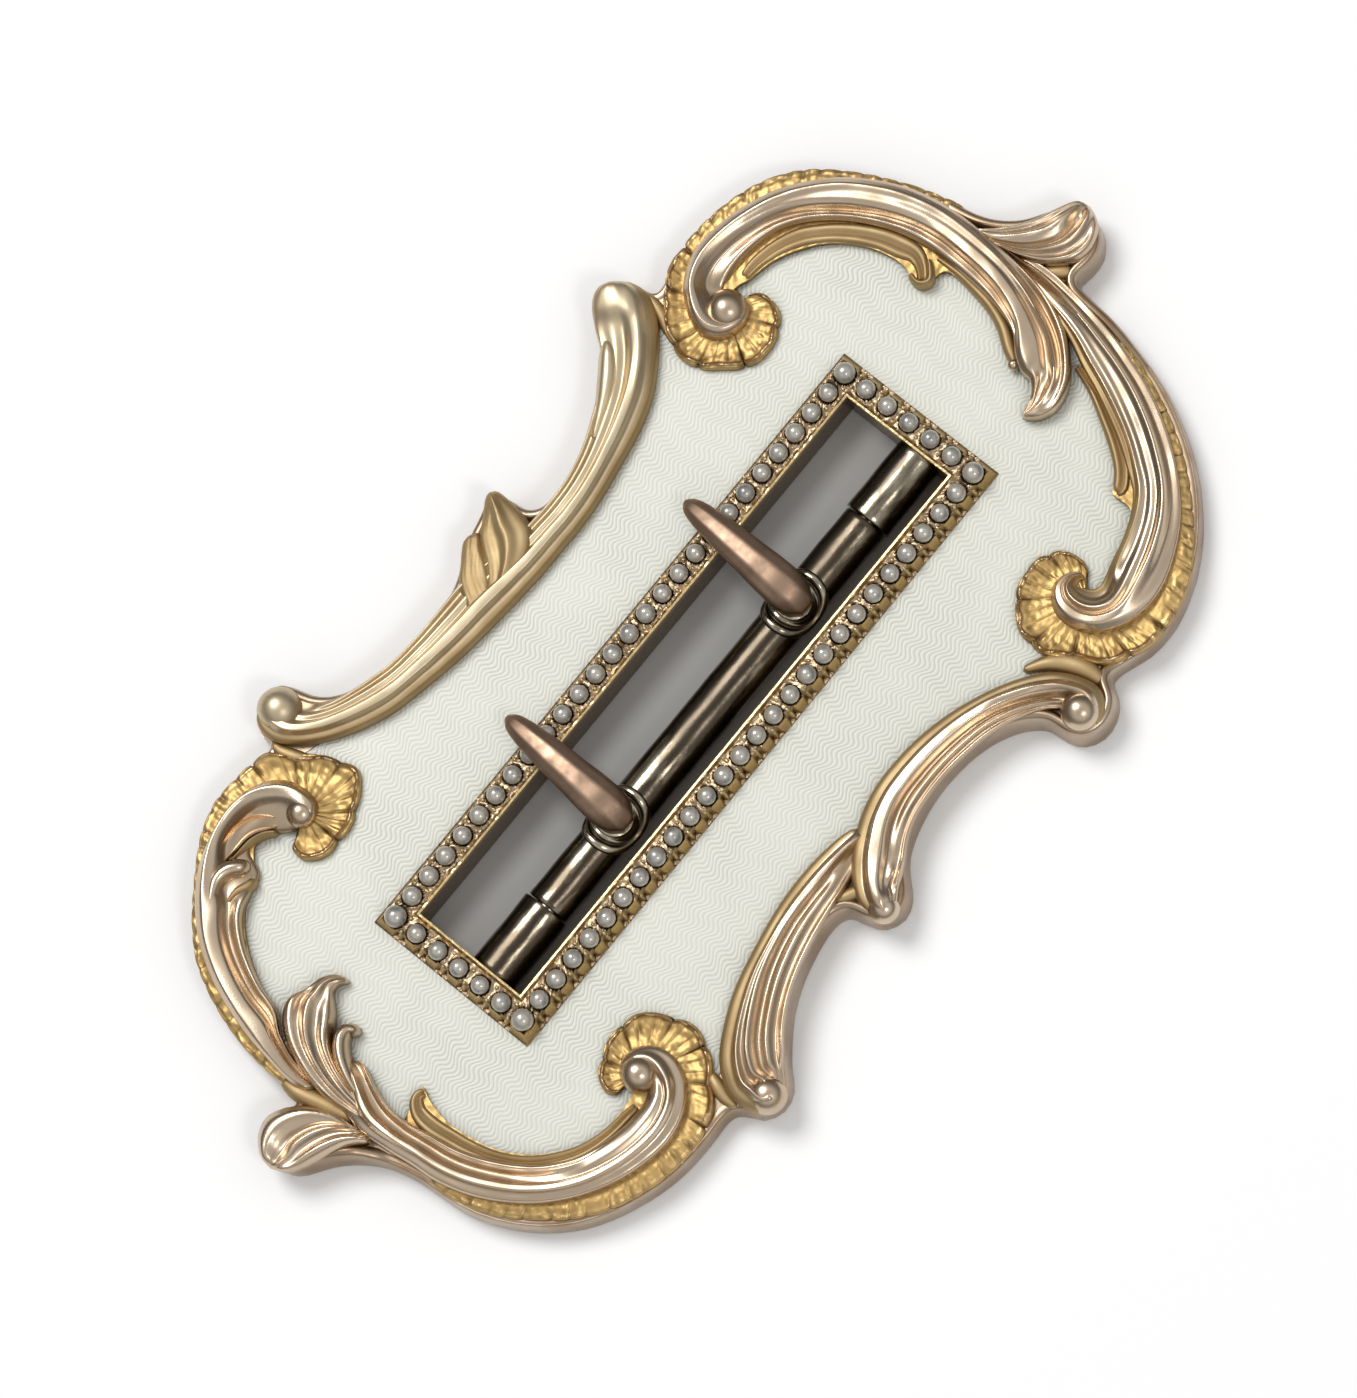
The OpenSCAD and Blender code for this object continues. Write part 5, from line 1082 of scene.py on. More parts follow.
def slot_shade_card(tree, colours):
    """Grey card under the slot: painted shade on the floor seen through it."""
    return matte_card(tree, colours.card)


def finish_of(make):
    """The material that a function above describes, made once, when a piece first asks for it."""
    name = make.__name__.title().replace("_", "")
    if name in bpy.data.materials:
        return bpy.data.materials[name]
    material = bpy.data.materials.new(name)
    material.use_nodes = True
    tree = material.node_tree
    tree.nodes.clear()
    surface = add_node(tree, "BsdfPrincipled", make(tree, bpy.context.scene.buckle_finishes))
    add_node(tree, "OutputMaterial", {"Surface": surface})
    return material


def paint(node, make):
    """Gives a CAD node its finish."""
    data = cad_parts[node].data
    data.materials.clear()
    data.materials.append(finish_of(make))


# Pieces


def rim_outline(node, spacing=0.3):
    """Outline of a node's highest face, smoothed, clockwise or not, in millimetres."""
    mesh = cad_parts[node].data
    points = np.array([v.co for v in mesh.vertices]) / MM
    top = points[:, 2].max()
    flat = [p for p in mesh.polygons if all(points[v][2] > top - 0.01 for v in p.vertices)]
    uses = {}
    for face in flat:
        for a, b in face.edge_keys:
            key = tuple(sorted((tuple(np.round(points[a][:2], 4)), tuple(np.round(points[b][:2], 4)))))
            uses[key] = uses.get(key, 0) + 1
    links = {}
    for (a, b), count in uses.items():
        if count == 1:
            links.setdefault(a, []).append(b)
            links.setdefault(b, []).append(a)
    start = min(links)
    loop, here, before = [start], links[start][0], start
    while here != start:
        loop.append(here)
        here, before = next(p for p in links[here] if p != before), here
    loop = np.array([*loop, start]) - SLOT_MIDDLE[:2]
    run = run_along(loop)
    wanted = np.linspace(0, run[-1], int(run[-1] / spacing), endpoint=False)
    even = np.stack([np.interp(wanted, run, loop[:, k]) for k in (0, 1)], axis=1)
    for _ in range(4):
        even = (np.roll(even, 1, axis=0) + 2 * even + np.roll(even, -1, axis=0)) / 4
    return even


# Wall of the tray, from its lip to its foot: (distance outside the rim, height above the floor, and how
# much of its shoulder's height is added where a scroll stands on the rim)
WALL_PROFILE = [(-0.75, 2.3, 0.6), (-0.5, 2.4, 1), (-0.25, 2.43, 1), (-0.04, 2.4, 0.9), (0.08, 2.28, 0.7),
                (0.16, 2.05, 0.4), (0.21, 1.7, 0.1), (0.26, 1.2, 0), (0.29, 0.8, 0), (0.28, 0.35, 0),
                (0.22, 0.08, 0), (0.12, 0, 0), (-0.1, 0, 0), (-0.1, 1.2, 0)]
WALL_SHOULDER = 0.8  # height that the whole shoulder gains under a scroll


def make_tray_wall():
    """Polished skin over the tray's wall, whose form it smooths."""
    rim = rim_outline("tray")
    ahead = np.roll(rim, -1, axis=0) - np.roll(rim, 1, axis=0)
    ahead /= np.linalg.norm(ahead, axis=1, keepdims=True)
    area = np.sum(rim[:, 0] * np.roll(rim[:, 1], -1) - rim[:, 1] * np.roll(rim[:, 0], -1))
    outward = np.stack([ahead[:, 1], -ahead[:, 0]], axis=1) * np.sign(area)
    profile = smooth(WALL_PROFILE, 3)
    xy = rim[:, None] + outward[:, None] * profile[None, :, :1]
    far = np.abs(rim[:, :1])
    side_scroll, leaf_tip = ease(20, 17.5, far), ease(36.6, 38, far)
    under_scroll = np.maximum(side_scroll, leaf_tip)
    z = profile[None, :, 1] + WALL_SHOULDER * under_scroll * profile[None, :, 2]
    z = np.maximum(z, FLOOR_Z / MM)
    sculpt = Sculpt()
    sculpt.add(np.concatenate([xy, z[..., None]], axis=2), tube_faces(len(rim), len(profile), closed=True))
    return sculpt.piece("tray_wall", finish_of(gilt_silver), "gilt_tray", "buckle")


def lobes(run, wanted, seed):
    """Place within the lobe, from 0 to 1, for lobes of uneven width."""
    rng = np.random.default_rng(seed)
    count = max(1, round(run[-1] / wanted))
    edges = np.linspace(0, run[-1], count + 1)
    edges[1:-1] += rng.uniform(-0.22, 0.22, count - 1) * wanted
    number = np.clip(np.searchsorted(edges, run, side="right") - 1, 0, count - 1)
    return (run - edges[number]) / (edges[number + 1] - edges[number])


EYE_RADIUS = 0.6  # how near to its eye a shell's lobes reach


def make_frill(name, seed):
    """One satin underlay with a nicked edge, and its dished shell with a raised line inside the edge."""
    sizes = bpy.context.scene.buckle_sizes
    spacing, steps, columns = 0.075, 40, 36
    rows, shell, eye = FRILLS[name]
    ways = [np.array(point) - eye for point in shell]
    ends = [np.array(eye) + EYE_RADIUS * way / np.linalg.norm(way) for way in ways]
    fan = [(*point, *end) for point, end in zip(shell, ends)]
    fine = smooth([*rows, *fan], steps)
    run = run_along(fine[:, 0:2])
    wanted = np.linspace(0, run[-1], int(run[-1] / spacing))
    even = np.stack([np.interp(wanted, run, column) for column in fine.T], axis=1)
    place = np.interp(wanted, run, np.arange(len(fine)) / steps)
    in_shell = ease(len(rows) - 1.5, len(rows) + 0.5, place)[:, None]
    split = int(np.searchsorted(place, len(rows) - 0.5))
    part = np.concatenate([
        lobes(wanted[:split] - wanted[0], sizes.frill_lobe / MM, seed),
        lobes(wanted[split:] - wanted[split], sizes.shell_lobe / MM, seed + 1),
    ])
    # How full a lobe is, and the points across from its edge
    puff = np.clip(np.sin(np.pi * part), 0, 1)[:, None] ** 0.3
    out = even[:, 0:2] - even[:, 2:4]
    width = np.linalg.norm(out, axis=1)[:, None]
    out /= width
    reach = (0.12 + 0.24 * in_shell) * (puff - 0.85)
    outer = even[:, 0:2] + out * reach
    share = (np.linspace(0, 1, columns) ** 1.5)[None]
    inside = share * width
    xy = outer[:, None] + (even[:, 2:4] - outer)[:, None] * share[..., None]
    # Nicks between the lobes, fine lines, folds that fan out, hammering, and the raised line
    nick = (1 - puff) * ease(1.1 + in_shell, 0.2, inside)
    lines = ripple(wanted, 0 * wanted, 0.3, seed + 2)[:, None] * bell(inside, 0.6, 0.9)
    folds = np.abs(np.sin(np.pi * part * 3))[:, None] ** 0.5 * in_shell * ease(0, 0.5, inside)
    hammered = ripple(xy[..., 0], xy[..., 1], 0.32, seed + 3, 12)
    line_inside = 0.28 + 0.05 * ripple(wanted, 0 * wanted, 0.9, seed + 4)[:, None]
    rim = bell(inside, line_inside, 0.09) * ease(0.1, 0.6, puff)
    # Height of the strip, which turns into the dished shell
    dish = 0.3 * bell(inside, 0, 0.9) + 0.4 * bell(share, 1, 0.35)
    strip = 0.42 + 0.2 * ease(0, 0.9, inside)
    body = strip * (1 - in_shell) + (0.34 + dish + 0.06 * folds) * in_shell - (0.1 + 0.1 * in_shell) * nick
    body += 0.02 * lines + 0.022 * hammered
    body += rim * (0.03 + 0.13 * in_shell)
    edge = 1 - (1 - np.clip(inside / 0.07, 0, 1)) ** 2
    z = BASE + body * (0.35 + 0.65 * edge)
    top = np.concatenate([xy, z[..., None]], axis=2)
    # Underside, painted dark; painted shade in the nicks and in the hollows between the shell's folds; and
    # the raised line, burnished and painted paler as a highlight
    foot = top[:, [-1, 0]].copy()
    foot[..., 2] = BASE
    under = np.zeros((len(top), 2))
    # These values are painted shade: darker in the nicks and in the hollows between the shell's folds
    worn = (0.7 + 0.5 * in_shell) * nick
    worn = worn + 0.4 * (1 - folds) * in_shell * ease(0.3, 0.6, inside) * ease(1, 0.8, share)
    depth = np.concatenate([np.clip(worn - 0.1 * hammered, 0, 1), under + 1], axis=1)
    tint = np.concatenate([rim * (0.25 + 0.75 * in_shell), under], axis=1)
    sculpt = Sculpt()
    sculpt.add(np.concatenate([top, foot], axis=1), tube_faces(len(top), columns + 2), depth, tint)
    node = "frill_" + name
    return sculpt.piece(node, finish_of(frosted_yellow_gold), "matte_gold", "buckle", node, sharp=70)


def make_scroll(name):
    """One scroll or leaf: its cast bodies, the strands laid on them and its balls."""
    sculpt = Sculpt(SATIN.get(name, 0.0))
    for guide, yellow, dots, rows in BODIES[name]:
        sculpt.loft(guide, rows, yellow, dots)
    for section, tint, relief, rows in STRANDS.get(name, []):
        sculpt.sweep(rows, section, tint=tint, relief=relief)
    for x, y, radius, top in BALLS.get(name, []):
        sculpt.ball((x, y, top - radius), radius, 24, 40)
    return sculpt.piece(name, finish_of(polished_rose_gold), "polished_gold", "buckle", name)


def pearl_places():
    """Centres and radii of the pearls, and the gaps between them: (x, y, and the way out from the slot)."""
    sizes = bpy.context.scene.buckle_sizes
    half = (PEARL_HIGH - PEARL_LOW)[:2] / 2 - sizes.corner_pearl / MM / 2
    centre_z = (PEARL_HIGH[2] + PEARL_LOW[2]) / 2
    long_row, short_row = 28, 7
    x = np.linspace(-half[0], half[0], long_row)
    y = np.linspace(-half[1], half[1], short_row)
    pearls = [(px, side * half[1]) for px in x for side in (-1, 1)]
    pearls += [(side * half[0], py) for py in y[1:-1] for side in (-1, 1)]
    radii = [
        (sizes.corner_pearl if abs(px) == half[0] and abs(py) == half[1] else sizes.pearl) / MM / 2
        for px, py in pearls
    ]
    gaps = [(px, side * half[1], 0, side) for px in (x[:-1] + x[1:]) / 2 for side in (-1, 1)]
    gaps += [(side * half[0], py, side, 0) for py in (y[:-1] + y[1:]) / 2 for side in (-1, 1)]
    return np.array([(px, py, centre_z) for px, py in pearls]), np.array(radii), np.array(gaps)


# The pearl strip across, from the slot outwards: (distance from the slot, height)
STRIP_PROFILE = [(0, 0.2), (0, 2), (0, 3.5), (0.04, 3.66), (0.13, 3.7), (0.22, 3.66), (0.27, 3.54),
                 (0.34, 3.46), (0.6, 3.46), (1.0, 3.46), (1.4, 3.46), (1.8, 3.48), (1.92, 3.44), (2.0, 3.3),
                 (2.22, 2.6), (2.26, 2.43), (0.45, 2.43), (0.45, 0.2)]
STRIP_WIDTH = 2.25
GAP_START = 0.2  # how far out from the row's middle line a gap begins to shape the bevel
# Notches of its bevel, one on each side of a gap between two pearls
NOTCH_PLACE = 0.27
NOTCH_HALF = 0.24
NOTCH_DEPTH = 0.75
# Grains in each gap: how far out from the middle of the row, and how high
GRAIN_PLACES = (-0.52, 0.5)
GRAIN_HEIGHT = 3.5


def slot_ring(half, spacing):
    """Points of a rectangle of half size 1 round the slot, evenly spaced once it has its real half size."""
    corners = np.array([(-1, 1), (1, 1), (1, -1), (-1, -1)])
    ring = []
    for start, end in zip(corners, np.roll(corners, -1, axis=0)):
        side = np.linalg.norm((end - start) * half)
        t = np.linspace(0, 1, int(side / spacing), endpoint=False)[:, None]
        ring.append(start + (end - start) * t)
    return np.concatenate(ring)


def beside_gaps(xy, gaps):
    """Distance of each point outside the pearls to the line out from the nearest gap between them."""
    way = xy[:, :, None] - gaps[None, None, :, :2]
    out_x, out_y = gaps[None, None, :, 2], gaps[None, None, :, 3]
    beside = np.abs(way[..., 0] * out_y - way[..., 1] * out_x)
    outside = way[..., 0] * out_x + way[..., 1] * out_y > GAP_START
    return np.where(outside, beside, np.inf).min(axis=2)


def make_pearl_strip():
    """Strip round the slot: bright inner edge, pink ground with a seat for each pearl, notched bevel."""
    pearls, radii, gaps = pearl_places()
    slot = STRIP_HALF - STRIP_WIDTH
    profile = section_points(STRIP_PROFILE, 70)
    height = profile[None, :, 1]
    xy = slot_ring(slot, 0.105)[:, None] * (slot + profile[None, :, :1])
    z = np.broadcast_to(height, xy.shape[:2]).copy()
    away = np.broadcast_to(profile[None, :, 0], z.shape)
    # A seat for each pearl in the uneven ground
    on_top = (height > 3.3) * ease(0.18, 0.26, away) * ease(2.05, 1.85, away)
    near = (np.linalg.norm(xy[:, :, None] - pearls[None, None, :, :2], axis=3) - radii).min(axis=2)
    seats = 0.1 * bell(near, 0.09, 0.06) - 0.3 * ease(0.04, -0.08, near)
    z += on_top * seats
    z += on_top * 0.045 * ripple(xy[..., 0], xy[..., 1], 0.3, 21, 12) * ease(0.05, 0.2, near)
    # Two notches at each gap, and the facet between them: golden on the bevel, and paler in the facet's
    # middle as a painted highlight
    gap = beside_gaps(xy, gaps)
    bevel = ease(1.7, 1.95, away) * (height > 2.5)
    notch = bevel * np.clip(1 - np.abs(gap - NOTCH_PLACE) / NOTCH_HALF, 0, 1)
    z -= NOTCH_DEPTH * notch
    facet = bevel * (0.45 + 0.35 * bell(gap, 0, 0.1))
    # Painted highlight on the inner edge; painted shade on the walls, round the foot of each pearl and in
    # the notches
    inner_edge = bell(away, 0.13, 0.13) * (height > 3.4)
    walls = np.where(away < 0.3, 0.5, 0.25)
    painted_shade = 0.75 * ease(0.12, 0.0, near) * on_top
    dark = np.maximum(np.where(height < 3.2, walls, painted_shade), 0.9 * notch)
    points = np.concatenate([xy, z[..., None]], axis=2)
    sculpt = Sculpt()
    sculpt.add(
        points, tube_faces(len(points), len(profile), closed=True), dark, np.maximum(inner_edge, facet)
    )
    rng = np.random.default_rng(8)
    grain = bpy.context.scene.buckle_sizes.grain / MM / 2
    for x, y, out_x, out_y in gaps:
        for out in GRAIN_PLACES:
            jitter = rng.uniform(-0.09, 0.09, 2)
            size = grain * rng.uniform(0.7, 1.1)
            place = (x + out_x * out + jitter[0], y + out_y * out + jitter[1], GRAIN_HEIGHT)
            # The grains are yellow gold, painted part way towards the pale highlight colour
            sculpt.ball(place, size, 8, 12, 1.1, tint=0.8)
    return sculpt.piece("pearl_strip", finish_of(pink_gilt), "gilt_strip", "buckle", "pearl_frame")


def make_pearls():
    """Seed pearls, no two quite alike."""
    pearls, radii, _ = pearl_places()
    rng = np.random.default_rng(4)
    sculpt = Sculpt()
    for place, radius in zip(pearls, radii):
        sculpt.ball(place, radius * rng.uniform(0.94, 1), 18, 28, rng.uniform(0.94, 1.0))
    return sculpt.piece("pearls", finish_of(seed_pearl), "seed_pearl", "buckle", "seed_pearls")


def make_sleeve(name, side):
    """Sleeve that holds the bar's journal, with softened edges. The bar hides its bore, which is closed."""
    inner, outer = SLOT_END - SLEEVE_LENGTH, SLOT_END
    body = [(x, SLEEVE_RADIUS) for x in np.linspace(inner + 0.4, outer - 0.1, 24)]
    start = [(inner, BORE_RADIUS), (inner, SLEEVE_RADIUS - 0.1), (inner + 0.03, SLEEVE_RADIUS - 0.03),
             (inner + 0.1, SLEEVE_RADIUS)]
    end = [(outer, SLEEVE_RADIUS - 0.05), (outer, BORE_RADIUS)]
    sculpt = Sculpt()
    # The right sleeve is painted lighter, as a highlight, and the left one darker, as shade
    sculpt.lathe([(side * x, radius) for x, radius in [*start, *body, *end]], dark=-0.02 - 0.06 * side)
    return sculpt.piece(name, finish_of(oxidised_silver), "oxidised_silver", "buckle", name)


def make_bar():
    """Turning bar with its journals and a bruised surface."""
    shoulder = SLOT_END - SLEEVE_LENGTH - 0.1
    end = SLOT_END - 0.2
    half = [(shoulder - 0.08, BAR_RADIUS), (shoulder, BAR_RADIUS - 0.08), (shoulder, JOURNAL_RADIUS),
            (end, JOURNAL_RADIUS), (end, 0.05)]
    left = [(-x, radius) for x, radius in half[::-1]]
    body = [(x, BAR_RADIUS) for x in np.linspace(-shoulder + 0.4, shoulder - 0.4, 150)]
    rows = np.array([*left, *body, *half])
    dark = 0.1 * bell(rows[:, :1], 14, 3) + 0.05 * bell(rows[:, :1], -14, 3)
    sculpt = Sculpt()
    sculpt.lathe(rows, 72, dark)
    return sculpt.piece("bar", finish_of(oxidised_silver), "oxidised_silver", "prongs", "prong_bar")


# A collar from its rim to its middle: (share of its radius, height above the bar's surface)
COLLAR_PROFILE = [(1.0, -0.04), (1.0, 0.1), (0.985, 0.2), (0.95, 0.28), (0.9, 0.33), (0.84, 0.34),
                  (0.79, 0.3), (0.75, 0.2), (0.72, 0.12), (0.69, 0.12), (0.67, 0.2), (0.66, 0.34),
                  (0.63, 0.43), (0.59, 0.45), (0.56, 0.4), (0.54, 0.32), (0.5, 0.34), (0.3, 0.4),
                  (0.01, 0.45)]


def make_collar(name, side):
    """Two rings that lie on the bar like a saddle, round the seat of a claw."""
    profile = smooth(COLLAR_PROFILE, 5)
    profile = np.concatenate([profile, [(0.01, -0.04), (0.5, -0.04), (0.9, -0.04)]])
    b = np.linspace(0, 2 * np.pi, 120, endpoint=False)[None]
    share, rise = profile[:, :1], profile[:, 1:]
    radius = BAR_RADIUS + rise
    across = share * np.sin(b) * np.pi / 2
    x = side * COLLAR_X + COLLAR_RADIUS * share * np.cos(b)
    y = AXIS_Y + radius * np.sin(across)
    z = AXIS_Z + radius * np.cos(across)
    seat = ease(0.6, 0.5, share) * (rise > 0)
    z = z + (np.maximum(z, SEAT_TOP) - z) * seat
    sculpt = Sculpt()
    # Painted shade in the hollow between the rings, and the whole collar lifted towards rubbed silver as a
    # painted highlight
    hollow_shade = ease(0.3, 0.12, rise) - 0.12 + 0 * x
    sculpt.add(np.stack([x, y, z], axis=-1), tube_faces(len(profile), 120), hollow_shade)
    return sculpt.piece(name, finish_of(oxidised_silver), "oxidised_silver", "prongs", name)


# A claw from root to tip: (y from the axis, z, width, thickness, tilt), as in the frame
CLAW_ROWS = [(0, 4.09, 2.5, 2.4, 0), (0, 4.38, 2.75, 2.42, 6), (0.18, 4.7, 2.9, 2.3, 16),
             (0.7, 5.08, 3, 2.05, 31), (1.5, 5.3, 2.95, 1.65, 53), (2.4, 5.38, 2.85, 1.4, 74),
             (3.8, 5.42, 2.6, 1.3, 88), (5.8, 5.35, 2.35, 1.15, 95), (7.3, 5.12, 2.05, 1.05, 100),
             (8.5, 4.85, 1.75, 0.95, 105), (9.4, 4.55, 1.3, 0.8, 111), (9.9, 4.3, 0.6, 0.4, 117)]
# Section of a claw: flat ridge on top between two slanted sides, as shares of half its size
CLAW_SECTION = [(0, 1), (0.3, 0.99), (0.42, 0.95), (0.6, 0.74), (0.86, 0.42), (0.98, 0.1), (1, -0.15),
                (0.92, -0.5), (0.7, -0.8), (0.35, -0.97), (0, -1)]
CLAW_LEAN = 0.05  # sideways for each millimetre along
CLAW_OFFSET = 0.2  # from the collar's middle


def make_claw(name, side):
    """A claw prong with a flat ridge and a rounded tip."""
    rows = smooth(CLAW_ROWS, 10)
    tip = rows[-1] * (1, 1, 0.6, 0.6, 1) + (0.06, -0.03, 0, 0, 0)
    rows = np.concatenate([rows, [tip]])
    half = section_points(CLAW_SECTION, 26)
    section = np.concatenate([half, half[-2:0:-1] * (-1, 1)])
    tilt = np.radians(rows[:, 4])[:, None]
    u = section[None, :, 0] * rows[:, 2][:, None] / 2
    v = section[None, :, 1] * rows[:, 3][:, None] / 2
    x = side * COLLAR_X + CLAW_OFFSET + CLAW_LEAN * rows[:, :1] + u
    y = AXIS_Y + rows[:, :1] - np.cos(tilt) * v
    z = rows[:, 1][:, None] + np.sin(tilt) * v
    # Painted shade: darker on the underside and at the root, where the claw rises from its collar
    dark = 0.08 - 0.3 * section[:, 1] + 0.4 * bell(rows[:, :1], 0, 1.6)
    sculpt = Sculpt()
    sculpt.add(np.stack([x, y, z], axis=-1), tube_faces(len(rows), len(section)), dark)
    return sculpt.piece(name, finish_of(polished_red_gold), "copper_gold", "prongs", name, sharp=60)


# Operators, one for each piece or group of like pieces


class BUCKLE_OT_tray(bpy.types.Operator):
    """Tray with its polished wall, and the enamel panel in it"""

    bl_idname = "buckle.tray"
    bl_label = "Tray and enamel"

    def execute(self, context):
        paint("tray", gilt_silver)
        paint("enamel_panel", turned_enamel)
        make_tray_wall()
        return {"FINISHED"}


class BUCKLE_OT_pearl_strip(bpy.types.Operator):
    """Strip round the slot, its grains and its pearls"""

    bl_idname = "buckle.pearl_strip"
    bl_label = "Pearl strip"

    def execute(self, context):
        make_pearl_strip()
        make_pearls()
        return {"FINISHED"}


class BUCKLE_OT_bar(bpy.types.Operator):
    """Bar, sleeves and collars"""

    bl_idname = "buckle.bar"
    bl_label = "Bar"

    def execute(self, context):
        make_bar()
        for name, side in (("left", -1), ("right", 1)):
            make_sleeve("sleeve_" + name, side)
            make_collar("collar_" + name, side)
        return {"FINISHED"}


class BUCKLE_OT_claws(bpy.types.Operator):
    """Claw prongs"""

    bl_idname = "buckle.claws"
    bl_label = "Claws"

    def execute(self, context):
        make_claw("prong_left", -1)
        make_claw("prong_right", 1)
        return {"FINISHED"}


class BUCKLE_OT_frills(bpy.types.Operator):
    """Frilled underlays with their shells"""

    bl_idname = "buckle.frills"
    bl_label = "Frills"

    def execute(self, context):
        for seed, name in enumerate(FRILLS):
            make_frill(name, 10 * seed + 1)
        return {"FINISHED"}


class BUCKLE_OT_scrolls(bpy.types.Operator):
    """Polished scrolls and leaves"""

    bl_idname = "buckle.scrolls"
    bl_label = "Scrolls"

    def execute(self, context):
        for name in BODIES:
            make_scroll(name)
        return {"FINISHED"}


# Glow of the tent against half of one plus the cosine of the angle from the camera's axis
TENT_STOPS = [(0.0, 0.5), (0.46, 0.12), (0.6, 0.18), (0.74, 0.44), (0.85, 1.0), (0.93, 1.0), (0.98, 0.7),
              (1.0, 0.6)]
# Ways to the lamps from the buckle: (to the picture's right, to its top, towards the camera)
SIDE_LAMP_WAY = (-0.45, 0.5, 0.72)
HEAD_LAMP_WAY = (0.31, -0.2, 1)
# Sheets under the buckle, the grey card being painted shade under the slot: (name, finish, length, width,
# height above the floor), in millimetres
SHEETS = [("floor", white_paper, 2000, 2000, 0), ("card", slot_shade_card, 50, 14, 0.02)]


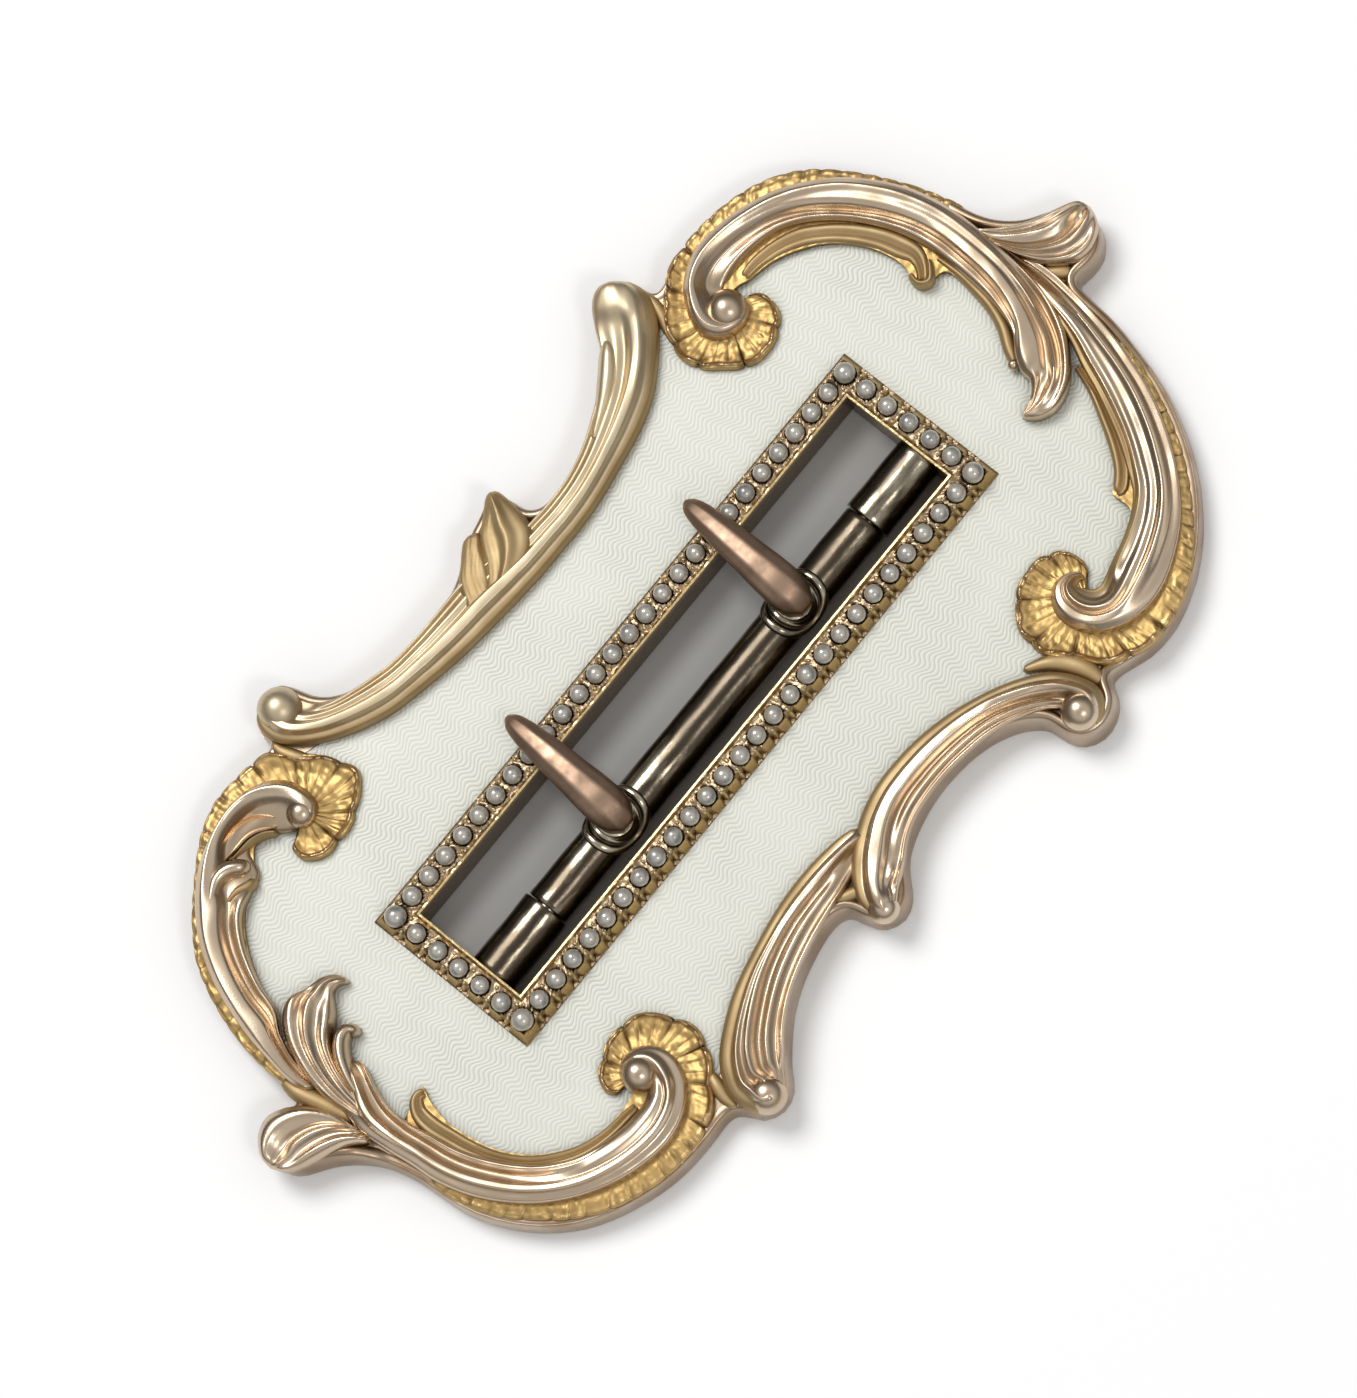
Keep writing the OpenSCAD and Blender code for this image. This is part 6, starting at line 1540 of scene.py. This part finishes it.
class BUCKLE_OT_stage(bpy.types.Operator):
    """White floor, soft light and the camera"""

    bl_idname = "buckle.stage"
    bl_label = "Stage"

    def execute(self, context):
        scene = context.scene
        stage = scene.buckle_stage
        scene.view_settings.view_transform = "Standard"
        middle = Vector(((np.array(CAMERA_TARGET) + SLOT_MIDDLE) * MM).tolist())
        back = Vector((
            math.cos(CAMERA_AZIMUTH) * math.sin(CAMERA_TILT),
            math.sin(CAMERA_AZIMUTH) * math.sin(CAMERA_TILT),
            math.cos(CAMERA_TILT),
        ))
        flat = Vector((1, 0, 0))
        across = (flat - back * flat.dot(back)).normalized()
        turn = Matrix.Rotation(CAMERA_ROLL, 3, back)
        right = turn @ across
        top = turn @ back.cross(across)
        self.floor(middle)
        self.camera(scene, stage, middle, right, top, back)
        self.tent(scene, stage, back)
        for name, way, size, power in (
            ("side_lamp", SIDE_LAMP_WAY, stage.lamp_size, stage.lamp_power),
            ("head_lamp", HEAD_LAMP_WAY, stage.head_size, stage.head_power),
        ):
            self.lamp(name, middle, back * way[2] + right * way[0] + top * way[1], size, power)
        return {"FINISHED"}

    def floor(self, middle):
        """Paper floor, and a grey card under the slot: painted shade on the floor seen through it."""
        for name, finish, long, wide, height in SHEETS:
            mesh = bpy.data.meshes.new(name)
            x, y, z = middle.x, middle.y, FLOOR_Z + height * MM
            out_x, out_y = long * MM / 2, wide * MM / 2
            corners = [(-out_x, -out_y), (out_x, -out_y), (out_x, out_y), (-out_x, out_y)]
            mesh.from_pydata([(x + dx, y + dy, z) for dx, dy in corners], [], [(0, 1, 2, 3)])
            mesh.materials.append(finish_of(finish))
            made = bpy.data.objects.new(name, mesh)
            bpy.context.scene.collection.objects.link(made)

    def camera(self, scene, stage, middle, right, top, back):
        """Camera at the photograph's angle."""
        made = bpy.data.objects.new("camera", bpy.data.cameras.new("camera"))
        scene.collection.objects.link(made)
        scene.camera = made
        made.data.sensor_width = SENSOR
        made.data.lens = FOCAL_PIXELS * SENSOR / max(IMAGE_WIDTH, IMAGE_HEIGHT)
        place = middle + back * stage.camera_distance
        made.matrix_world = Matrix.Translation(place) @ Matrix((right, top, back)).transposed().to_4x4()

    def tent(self, scene, stage, axis):
        """Light tent: a broad soft light overhead that falls off to darker sides."""
        world = bpy.data.worlds.new("light_tent")
        scene.world = world
        world.use_nodes = True
        tree = world.node_tree
        tree.nodes.clear()
        way = add_node(tree, "TexCoord").outputs["Generated"]
        unit = add_node(tree, "VectorMath", {0: way}, operation="NORMALIZE")
        facing = add_node(tree, "VectorMath", {0: unit, 1: tuple(axis)}, operation="DOT_PRODUCT")
        facing = facing.outputs["Value"]
        share = add_node(tree, "Math", {0: facing, 1: 0.5, 2: 0.5}, operation="MULTIPLY_ADD")
        glow = add_node(tree, "ValToRGB", {"Fac": share}, TENT_STOPS)
        surface = add_node(tree, "Background", {"Color": glow, "Strength": stage.tent})
        add_node(tree, "OutputWorld", {"Surface": surface})

    def lamp(self, name, middle, way, size, power):
        """Round lamp: the side one throws the soft shadow, and the one by the camera the highlights."""
        data = bpy.data.lights.new(name, "AREA")
        data.shape = "DISK"
        data.size = size
        data.energy = power
        made = bpy.data.objects.new(name, data)
        bpy.context.scene.collection.objects.link(made)
        made.location = middle + way.normalized() * bpy.context.scene.buckle_stage.lamp_distance
        made.rotation_mode = "QUATERNION"
        made.rotation_quaternion = (-way).to_track_quat("-Z", "Y")


class BUCKLE_PT_panel(bpy.types.Panel):
    """Buttons for the pieces"""

    bl_label = "Buckle"
    bl_idname = "BUCKLE_PT_panel"
    bl_space_type = "VIEW_3D"
    bl_region_type = "UI"
    bl_category = "Buckle"

    def draw(self, context):
        for step in STEPS:
            self.layout.operator(step.bl_idname)


STEPS = (
    BUCKLE_OT_tray, BUCKLE_OT_pearl_strip, BUCKLE_OT_bar, BUCKLE_OT_claws, BUCKLE_OT_frills,
    BUCKLE_OT_scrolls, BUCKLE_OT_stage,
)
GROUPS = {"buckle_sizes": BuckleSizes, "buckle_finishes": BuckleFinishes, "buckle_stage": BuckleStage}


def register():
    for made in (*GROUPS.values(), *STEPS, BUCKLE_PT_panel):
        bpy.utils.register_class(made)
    for name, group in GROUPS.items():
        setattr(bpy.types.Scene, name, bpy.props.PointerProperty(type=group))


def unregister():
    for name in GROUPS:
        delattr(bpy.types.Scene, name)
    for made in (BUCKLE_PT_panel, *reversed(STEPS), *reversed(GROUPS.values())):
        bpy.utils.unregister_class(made)


def main():
    register()
    for step in STEPS:
        name = step.bl_idname.removeprefix("buckle.")
        getattr(bpy.ops.buckle, name)()


if __name__ == "__main__":
    main()
